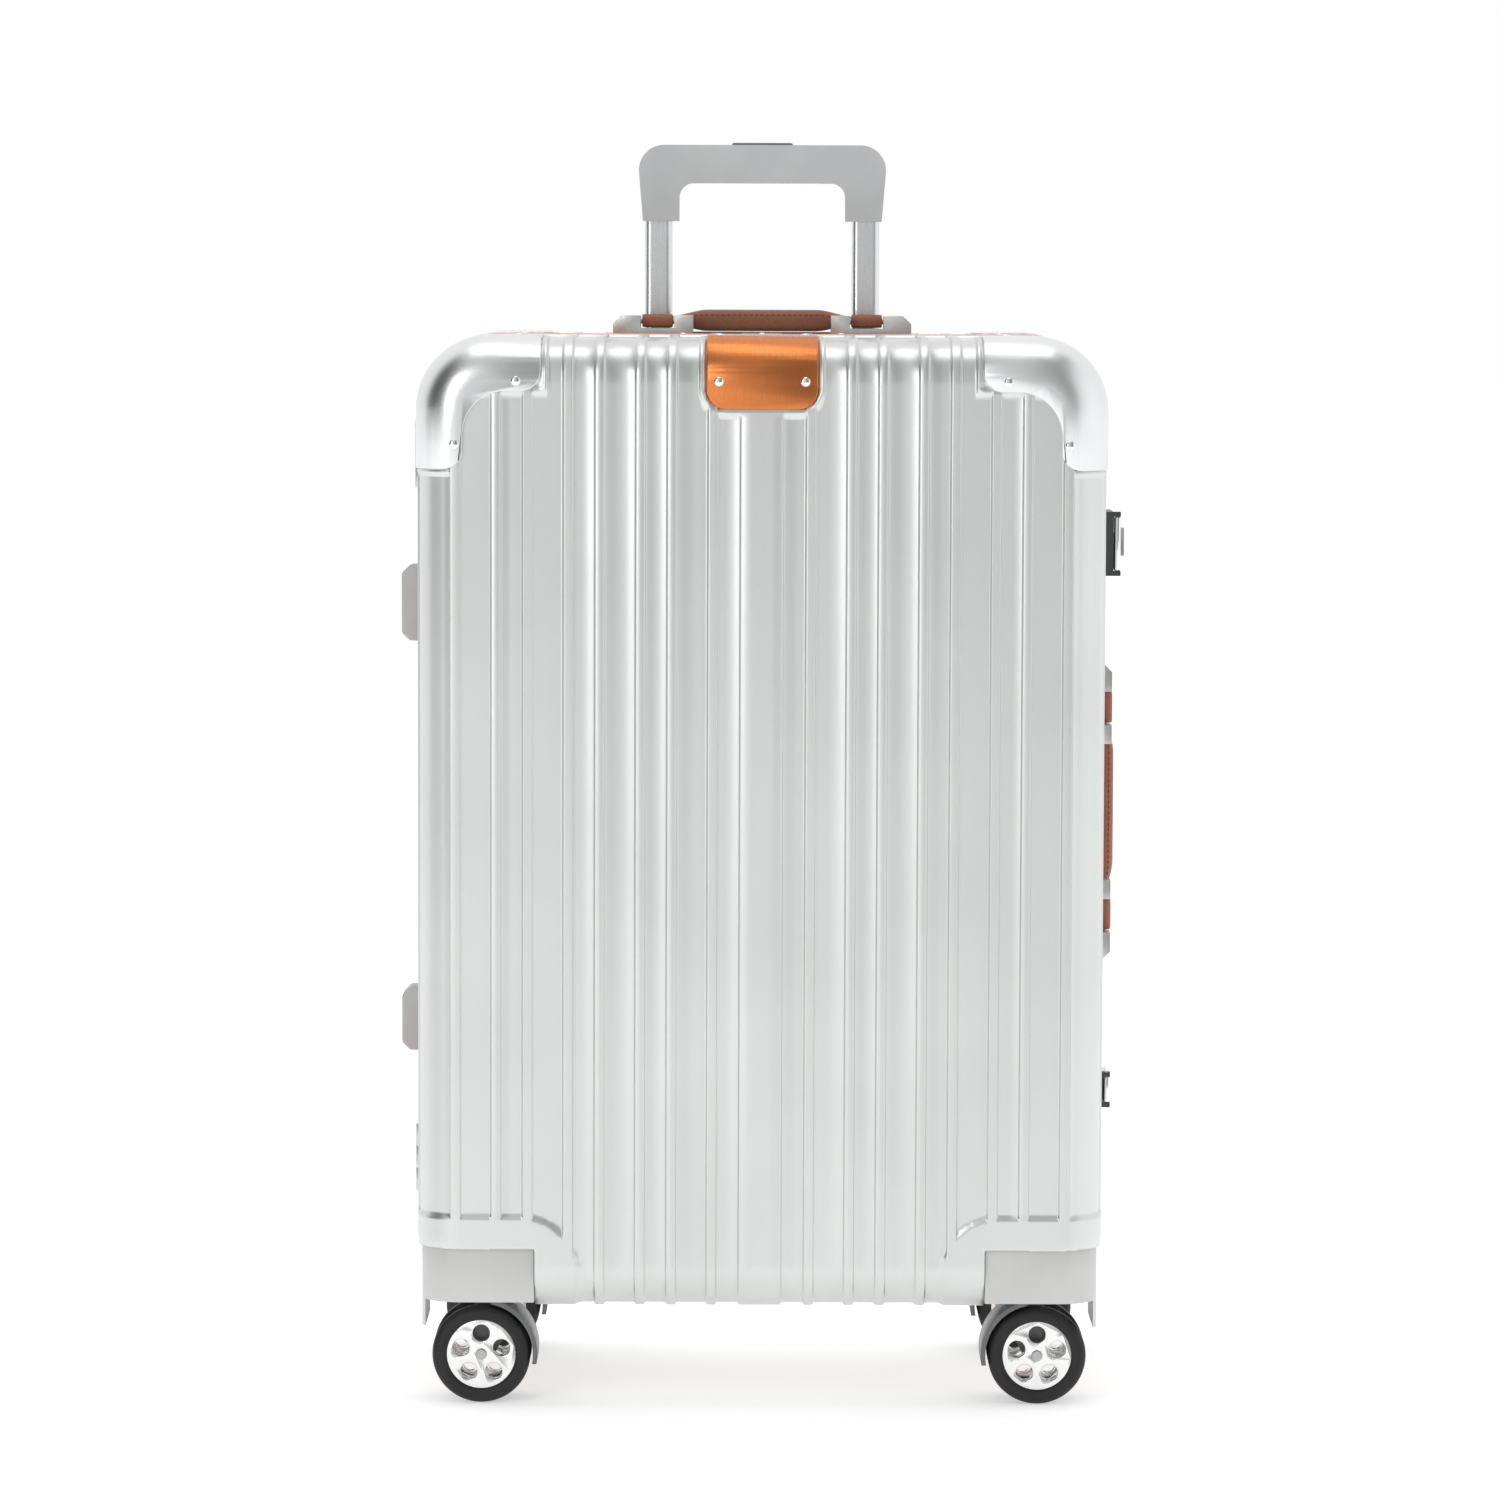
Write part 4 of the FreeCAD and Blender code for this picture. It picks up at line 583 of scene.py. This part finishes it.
# %% A rule that stands heads on points
class Rule:
    """A Geometry Nodes tree with named inputs that is run once into a plain mesh."""

    def __init__(self, name, **inputs):
        self.tree = bpy.data.node_groups.new(name, "GeometryNodeTree")
        face = self.tree.interface
        face.new_socket("Geometry", in_out="INPUT", socket_type="NodeSocketGeometry")
        face.new_socket("Geometry", in_out="OUTPUT", socket_type="NodeSocketGeometry")
        self.values = inputs
        for label, value in inputs.items():
            kind = "NodeSocketInt" if isinstance(value, int) else "NodeSocketFloat"
            face.new_socket(label, in_out="INPUT", socket_type=kind)
        self.inputs = self.tree.nodes.new("NodeGroupInput").outputs

    def add(self, kind, settings=None, output=0, **sockets):
        node = self.tree.nodes.new(kind)
        for key, value in (settings or {}).items():
            setattr(node, key, value)
        for key, value in sockets.items():
            socket = node.inputs[int(key[1:]) if key.startswith("_") else key.replace("_", " ")]
            if isinstance(value, bpy.types.NodeSocket):
                self.tree.links.new(value, socket)
            else:
                socket.default_value = value
        return node.outputs[output]

    def run(self, mesh, result, material):
        """Run the rule on a mesh; result is the last socket."""
        solid = self.add("GeometryNodeRealizeInstances", Geometry=result)
        final = self.add("GeometryNodeSetMaterial", Geometry=solid, Material=material)
        self.tree.links.new(final, self.tree.nodes.new("NodeGroupOutput").inputs[0])
        carrier = bpy.data.objects.new("carrier", mesh)
        bpy.context.scene.collection.objects.link(carrier)
        modifier = carrier.modifiers.new("rule", "NODES")
        modifier.node_group = self.tree
        for item in self.tree.interface.items_tree:
            if item.in_out == "INPUT" and item.name in self.values:
                modifier[item.identifier] = self.values[item.name]
        made = bpy.data.meshes.new_from_object(carrier.evaluated_get(
            bpy.context.evaluated_depsgraph_get()))
        carrier.modifiers.clear()
        bpy.data.objects.remove(carrier)
        for face in made.polygons:
            face.use_smooth = True
        return made


# %% [markdown]
# ## One head on every point
# A head is a ball pressed to less than half its height, so only a low dome shows above the
# sheet. Shell rivets and frame rivets differ in width, so each width is one run of the rule.

# %% Rivet heads
DOME = 0.42


def point_mesh(spots, facing):
    mesh = bpy.data.meshes.new("spots")
    mesh.from_pydata([Vector(s) for s in spots], [], [])
    store = mesh.attributes.new("facing", "FLOAT_VECTOR", "POINT")
    store.data.foreach_set("vector", np.array(facing, dtype=float).ravel())
    return mesh


def rivet_heads(mesh, radius):
    rule = Rule("rivet heads", Radius=radius, Dome=DOME, Sides=24)
    ball = rule.add("GeometryNodeMeshUVSphere", Segments=rule.inputs["Sides"], Rings=12,
                    Radius=rule.inputs["Radius"])
    tall = rule.add("ShaderNodeCombineXYZ", X=1.0, Y=1.0, Z=rule.inputs["Dome"])
    dome = rule.add("GeometryNodeTransform", Geometry=ball, Scale=tall)
    facing = rule.add("GeometryNodeInputNamedAttribute", {"data_type": "FLOAT_VECTOR"}, Name="facing")
    turned = rule.add("FunctionNodeAlignRotationToVector", {"axis": "Z"}, Vector=facing)
    heads = rule.add("GeometryNodeInstanceOnPoints", Points=rule.inputs["Geometry"], Instance=dome,
                     Rotation=turned)
    return rule.run(mesh, heads, CHROME)


def loose_parts(items, neighbours):
    """Split items into groups that hang together, in the order of their first item."""
    left, parts = set(items), []
    for first in items:
        if first in left:
            left.discard(first)
            part = [first]
            for item in part:
                for near in neighbours(item):
                    if near in left:
                        left.discard(near)
                        part.append(near)
            parts.append(part)
    return parts


def islands(node):
    """Low and high corner of every loose part of a node."""
    work = welded(node)
    parts = loose_parts(work.verts, lambda v: [w for edge in v.link_edges for w in edge.verts])
    spots = [np.array([v.co for v in part]) for part in parts]
    work.free()
    return [(s.min(axis=0), s.max(axis=0)) for s in spots]


for node, body in (("rear_rivets", "rear_case"), ("front_rivets", "front_case")):
    groups = {}
    for low, high in islands(node):
        size = high - low
        axis = int(np.argmin(size))
        facing, spot = np.zeros(3), (low + high) / 2
        outward = spot[axis] - (0, 0, MIDDLE * MM)[axis]
        facing[axis] = math.copysign(1, outward)
        spot[axis] = (high if outward > 0 else low)[axis] - facing[axis] * size.max() / 2 * DOME
        groups.setdefault(round(size.max() / MM), []).append((spot, facing))
    for width, heads in sorted(groups.items()):
        mesh = rivet_heads(point_mesh(*zip(*heads)), width * MM / 2)
        add_piece(f"{node}_{width}mm", mesh, body, node)
        print(node, len(heads), "heads", width, "mm wide")

# %% [markdown]
# ## Leather carry handles
# Each handle is one strap of saddle leather that loops round two steel pins and swells to a
# padded bar between them. It is drawn as a loft: an oval section is carried along the strap's
# line, flat at the pins and full at the bar. A cloth simulation could inflate it, but firm
# stitched leather keeps its form, so a subdivided loft serves. The stitches follow both edges
# by rule.

# %% Leather handles
PIN_UP = (reach("top_handle")[0][2] + reach("top_handle")[1][2]) / 2 - TOP
PIN_DEEP, BAR_DEEP, LEG, BEND = 28, 56, 65.3, 22
STRAP_WIDE, STRAP_THICK, PAD_WIDE, PAD_THICK = 19.4, 4.0, 19.6, 13.6
PAD_FULL, PAD_END, ROUND, TURNS, ROLL_HALF, ROLL_ROUND = 34, 60, 28, 24, 9.6, 9.0
BORE, ROLL = (2.2, 2.3), (4.2, 4.0)


def handle_line():
    """Points of the strap's middle line in plan."""
    path = [(-LEG, PIN_DEEP + 3 + k * 0.8) for k in range(5)]
    path += [(-LEG + BEND * (1 - math.cos(a)), BAR_DEEP - BEND + BEND * math.sin(a))
             for a in np.linspace(0.05, math.pi / 2, 15)]
    path += [(x, BAR_DEEP) for x in np.linspace(-LEG + BEND + 2, 0, 22)]
    path += [(-x, y) for x, y in reversed(path[:-1])]
    return np.array(path)


def section(x, angle):
    """Half width and height of the strap's oval at a place and angle."""
    full = 1 - ease(abs(x), PAD_FULL, PAD_END)
    wide = (STRAP_WIDE + (PAD_WIDE - STRAP_WIDE) * full) / 2
    thick = (STRAP_THICK + (PAD_THICK - STRAP_THICK) * full) / 2
    c, s = math.cos(angle), math.sin(angle)
    return (wide * math.copysign(abs(c) ** 0.75, c), thick * math.copysign(abs(s) ** 0.8, s))


def stand(point, sideways):
    """Place a point of the flat handle on top of the case, or on its latch side."""
    x, y, up = point
    if sideways:
        return ((HALF_WIDTH + up) * MM, y * MM, (side_level - x) * MM)
    return (x * MM, y * MM, (TOP + up) * MM)


side_low, side_high = reach("side_handle")
side_level = (side_low[2] + side_high[2]) / 2
line = handle_line()
along = np.gradient(line, axis=0)
along /= np.linalg.norm(along, axis=1)[:, None]


def handle_shape():
    """Corners and faces of the flat handle: the loft, and a roll round each pin."""
    spots, faces = [], []
    for (x, y), (tx, ty) in zip(line, along):
        for k in range(ROUND):
            out, up = section(x, 2 * math.pi * k / ROUND)
            spots.append((x - ty * out, y + tx * out, PIN_UP + up))
    rings = len(line)
    for i in range(rings - 1):
        for k in range(ROUND):
            a, b = i * ROUND + k, i * ROUND + (k + 1) % ROUND
            faces.append((a, b, b + ROUND, a + ROUND))
    faces += [tuple(range(ROUND))[::-1], tuple((rings - 1) * ROUND + k for k in range(ROUND))]
    for side in (-1, 1):
        start = len(spots)
        for half, end in ((-ROLL_HALF, 1), (-ROLL_ROUND, 0), (ROLL_ROUND, 0), (ROLL_HALF, 1)):
            for radius in (BORE[end], ROLL[end]):
                for k in range(TURNS):
                    a = 2 * math.pi * k / TURNS
                    spots.append((side * LEG + half, PIN_DEEP + radius * math.cos(a),
                                  PIN_UP + radius * math.sin(a)))
        loops = [[start + (2 * i + j) * TURNS + k for k in range(TURNS)]
                 for i, j in ((0, 0), (0, 1), (1, 1), (2, 1), (3, 1), (3, 0), (2, 0), (1, 0))]
        for first, second in zip(loops, loops[1:] + loops[:1]):
            faces += [(first[k], second[k], second[(k + 1) % TURNS], first[(k + 1) % TURNS])
                      for k in range(TURNS)]
    return spots, faces


# %% [markdown]
# ## Stitches
# Thick thread runs along both upper edges of the padded bar. A line is laid on the leather just
# inside each edge, and a second rule puts one slim bead on every 3.4 mm of it, turned along it.

# %% Stitches and both handles
SEAM_ANGLE, SEAM_END, SEAM_PROUD = math.radians(26), 58, 1.02


def stitch_line(side):
    """Line of stitches along one edge of the padded bar."""
    spots = []
    for (x, y), (tx, ty) in zip(line, along):
        if abs(x) < SEAM_END:
            out, up = section(x, SEAM_ANGLE if side > 0 else math.pi - SEAM_ANGLE)
            spots.append((x - ty * out, y + tx * out, PIN_UP + up * SEAM_PROUD))
    return spots


def stitches(sideways):
    work = bmesh.new()
    for side in (-1, 1):
        last = None
        for point in stitch_line(side):
            vert = work.verts.new(stand(point, sideways))
            if last:
                work.edges.new((last, vert))
            last = vert
    mesh = to_mesh("seam", work)
    rule = Rule("stitches", Spacing=0.0034, Length=0.0013, Thread=0.34)
    curve = rule.add("GeometryNodeMeshToCurve", Mesh=rule.inputs["Geometry"])
    points = rule.tree.nodes.new("GeometryNodeCurveToPoints")
    points.mode = "LENGTH"
    rule.tree.links.new(curve, points.inputs["Curve"])
    rule.tree.links.new(rule.inputs["Spacing"], points.inputs["Length"])
    bead = rule.add("GeometryNodeMeshUVSphere", Segments=8, Rings=6, Radius=rule.inputs["Length"])
    thin = rule.add("ShaderNodeCombineXYZ", X=rule.inputs["Thread"], Y=rule.inputs["Thread"], Z=1.0)
    thread = rule.add("GeometryNodeTransform", Geometry=bead, Scale=thin)
    sewn = rule.add("GeometryNodeInstanceOnPoints", Points=points.outputs["Points"], Instance=thread,
                    Rotation=points.outputs["Rotation"])
    return rule.run(mesh, sewn, THREAD)


for node, sideways in (("top_handle", False), ("side_handle", True)):
    spots, faces = handle_shape()
    mesh = bpy.data.meshes.new(node)
    mesh.from_pydata([stand(s, sideways) for s in spots], [], faces)
    work = bmesh.new()
    work.from_mesh(mesh)
    bmesh.ops.recalc_face_normals(work, faces=work.faces)
    for face in work.faces:
        face.smooth = len(face.verts) == 4
    work.to_mesh(mesh)
    work.free()
    handle = add_piece(node + "_leather", mesh, node, node, LEATHER)
    handle.modifiers.new("full leather", "SUBSURF").levels = 1
    thread = add_piece(node + "_stitches", stitches(sideways), node, node)
    print(node, len(mesh.polygons), "faces,", len(thread.data.polygons), "in the stitches")

# %% [markdown]
# ## Lining and packing straps
# The cloth lining is cut from one flat sheet, folded at the corners and glued at the rim, so it
# lies close to the shell with shallow ripples. A full drape could be simulated, but glued cloth
# hardly hangs. The inner skin of the engineering lining is cut into a fine grid and pushed
# inwards by a slow wave, then given its thickness.

# %% Lining
GLUED_RIM, FREE_FROM, CELL, CLOTH = 14, 44, 0.015, 0.8


def lining(node, body, flat):
    """The inner skin of a lining node as rippled cloth, cut from a flat piece of this size."""
    work = welded(node)
    edge = [f for f in work.faces if all(abs(abs(v.co.y) / MM - GLUED_RIM) < 0.05 for v in f.verts)]
    bmesh.ops.delete(work, geom=edge, context="FACES")
    skins = loose_parts(work.faces, lambda f: [g for edge in f.edges for g in edge.link_faces])
    widest = max(skins, key=lambda s: max(v.co.z for f in s for v in f.verts))
    bmesh.ops.delete(work, geom=widest, context="FACES")
    low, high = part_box(node)
    for axis in range(3):
        normal = Vector([float(k == axis) for k in range(3)])
        for place in np.arange(low[axis], high[axis], CELL):
            bmesh.ops.bisect_plane(work, geom=work.verts[:] + work.edges[:] + work.faces[:],
                                   plane_co=normal * float(place), plane_no=normal, dist=1e-6)
    bmesh.ops.remove_doubles(work, verts=work.verts, dist=1e-5)
    work.normal_update()
    for vert in work.verts:
        x, y, z = vert.co / MM
        wave = math.sin(x / 31 + z / 57) * math.sin(z / 43 - x / 71 + y / 23)
        fade = ease(abs(y), GLUED_RIM, FREE_FROM)
        vert.co += vert.normal * (0.3 + 0.45 * (1 + wave)) * fade * MM
    for face in work.faces:
        face.smooth = True
    area = sum(f.calc_area() for f in work.faces)
    cloth = add_piece(node + "_cloth", to_mesh(node, work), body, node, LINING)
    thick = cloth.modifiers.new("cloth", "SOLIDIFY")
    thick.thickness, thick.offset = CLOTH * MM, 0
    print(node, "cloth", round(area, 3), "m2 of", round(flat[0] * flat[1], 3), "m2 flat")


lining("front_lining", "front_case", (0.64, 0.82))
lining("rear_lining", "rear_case", (0.70, 0.84))

# %% [markdown]
# ## Cross straps
# Two elastic straps hold the clothes and meet under the buckle. They could be cut from the
# engineering piece, where both lie in one layer. Drawn as two flat bands from rim to rim, they
# can do what real straps do where they cross: one passes over the other.

# %% Cross straps
strap_low, strap_high = reach("cross_straps")
HALF_STRAP, STRAP_TILT, STRAP_CLOTH, STRAP_STEPS = 12.3, math.radians(22), 1.0, 80
OVER, OVER_REACH = 0.75, 0.09
STRAP_DEEP = (strap_low[1] + strap_high[1]) / 2
cross_z = (strap_low[2] + strap_high[2]) / 2
half_rise = (strap_high[2] - strap_low[2]) / 2 - 1
half_run = strap_high[0] - 12.5 / math.cos(STRAP_TILT) - 0.5
length = 2 * math.hypot(half_run, half_rise)
for side in (-1, 1):
    spots, faces = [], []
    across = np.array([half_rise, -side * half_run]) / (length / 2)
    for i in range(STRAP_STEPS + 1):
        t = 2 * i / STRAP_STEPS - 1
        over = side * OVER * math.exp(-(t / OVER_REACH) ** 2)
        for offset in (-HALF_STRAP, -8, 0, 8, HALF_STRAP):
            x, z = side * half_run * t + across[0] * offset, half_rise * t + across[1] * offset
            z = min(half_rise, max(-half_rise, z))
            spots.append((x * MM, (STRAP_DEEP + over) * MM, (cross_z + z) * MM))
    for i in range(STRAP_STEPS):
        faces += [(5 * i + k, 5 * i + k + 1, 5 * i + k + 6, 5 * i + k + 5) for k in range(4)]
    mesh = bpy.data.meshes.new("strap")
    mesh.from_pydata(spots, [], faces)
    strap = add_piece("cross_strap_" + ("left" if side < 0 else "right"), mesh, "rear_case",
                      "cross_straps", WEBBING)
    webbing = strap.modifiers.new("webbing", "SOLIDIFY")
    webbing.thickness, webbing.offset = STRAP_CLOTH * MM, 0
    print(strap.name, round(length), "mm long")

# %% [markdown]
# ## Floor and light
# A pale paper floor and soft light, as in a catalogue studio: a tall box in front on the left, a
# wide one overhead, a white wall behind and a dimmer room in front. The silver lacquer mirrors
# the room, so the world is a scale of greys from left to right: dark at the far left, which
# draws the left flank of each rib, and bright at the far right, which lights the other flank.

# %% Floor
floor_mesh = bpy.data.meshes.new("floor")
floor_mesh.from_pydata([(-9, -6, 0), (9, -6, 0), (9, 30, 0), (-9, 30, 0)], [], [(0, 1, 2, 3)])
paper = Finish("backdrop_paper", (0.9, 0.9, 0.9), Roughness=0.85, Specular_IOR_Level=0.2,
               Emission_Color=(1, 1, 1, 1), Emission_Strength=0.42)
paper.bump(paper.noise(90, 4), 0.0002, 0.15)
floor_mesh.materials.append(paper.material)
floor = bpy.data.objects.new("floor", floor_mesh)
bpy.context.scene.collection.objects.link(floor)


# %% The room
def ramp(tree, value, stops):
    """A smooth scale of greys; stops are pairs of place and brightness."""
    node = tree.nodes.new("ShaderNodeValToRGB")
    node.color_ramp.interpolation = "EASE"
    while len(node.color_ramp.elements) < len(stops):
        node.color_ramp.elements.new(0.5)
    for element, (place, grey) in zip(node.color_ramp.elements, stops):
        element.position, element.color = place, (grey, grey, grey, 1)
    tree.links.new(value, node.inputs[0])
    return node.outputs[0]


world = bpy.data.worlds.new("studio")
bpy.context.scene.world = world
world.use_nodes = True
sky = world.node_tree
gaze = sky.nodes.new("ShaderNodeTexCoord").outputs["Generated"]
parts = sky.nodes.new("ShaderNodeSeparateXYZ")
shift = sky.nodes.new("ShaderNodeMapping")
shift.inputs["Scale"].default_value = (0.5, 0.5, 0.5)
shift.inputs["Location"].default_value = (0.5, 0.5, 0.5)
sky.links.new(gaze, shift.inputs[0])
sky.links.new(shift.outputs[0], parts.inputs[0])
across = ramp(sky, parts.outputs[0], [(0.0, 0.03), (0.15, 0.05), (0.31, 0.60), (0.44, 0.68),
                                      (0.58, 0.38), (0.74, 0.26), (0.88, 0.95), (1.0, 1.1)])
behind = ramp(sky, parts.outputs[1], [(0.46, 0.0), (0.62, 1.0)])
whole = sky.nodes.new("ShaderNodeMix")
whole.data_type = "RGBA"
sky.links.new(behind, whole.inputs[0])
sky.links.new(across, whole.inputs[6])
whole.inputs[7].default_value = (1, 1, 1, 1)
sky.links.new(whole.outputs[2], sky.nodes["Background"].inputs["Color"])
sky.nodes["Background"].inputs["Strength"].default_value = 1.0


# %% Soft boxes
def softbox(name, spot, aim, size, power):
    data = bpy.data.lights.new(name, "AREA")
    data.shape, data.size, data.size_y, data.energy = "RECTANGLE", *size, power
    lamp = bpy.data.objects.new(name, data)
    bpy.context.scene.collection.objects.link(lamp)
    turn = (Vector(aim) - Vector(spot)).to_track_quat("-Z", "Y").to_matrix().to_4x4()
    lamp.matrix_world = Matrix.Translation(spot) @ turn


softbox("key box", (-1.3, -2.0, 1.1), (-0.1, 0, 0.4), (0.7, 1.5), 9)
softbox("top box", (0, -0.3, 3.2), (0, 0, 0.3), (2.2, 1.4), 14)
view = bpy.context.scene.view_settings
view.view_transform, view.look, view.exposure = "Standard", "None", 0.0
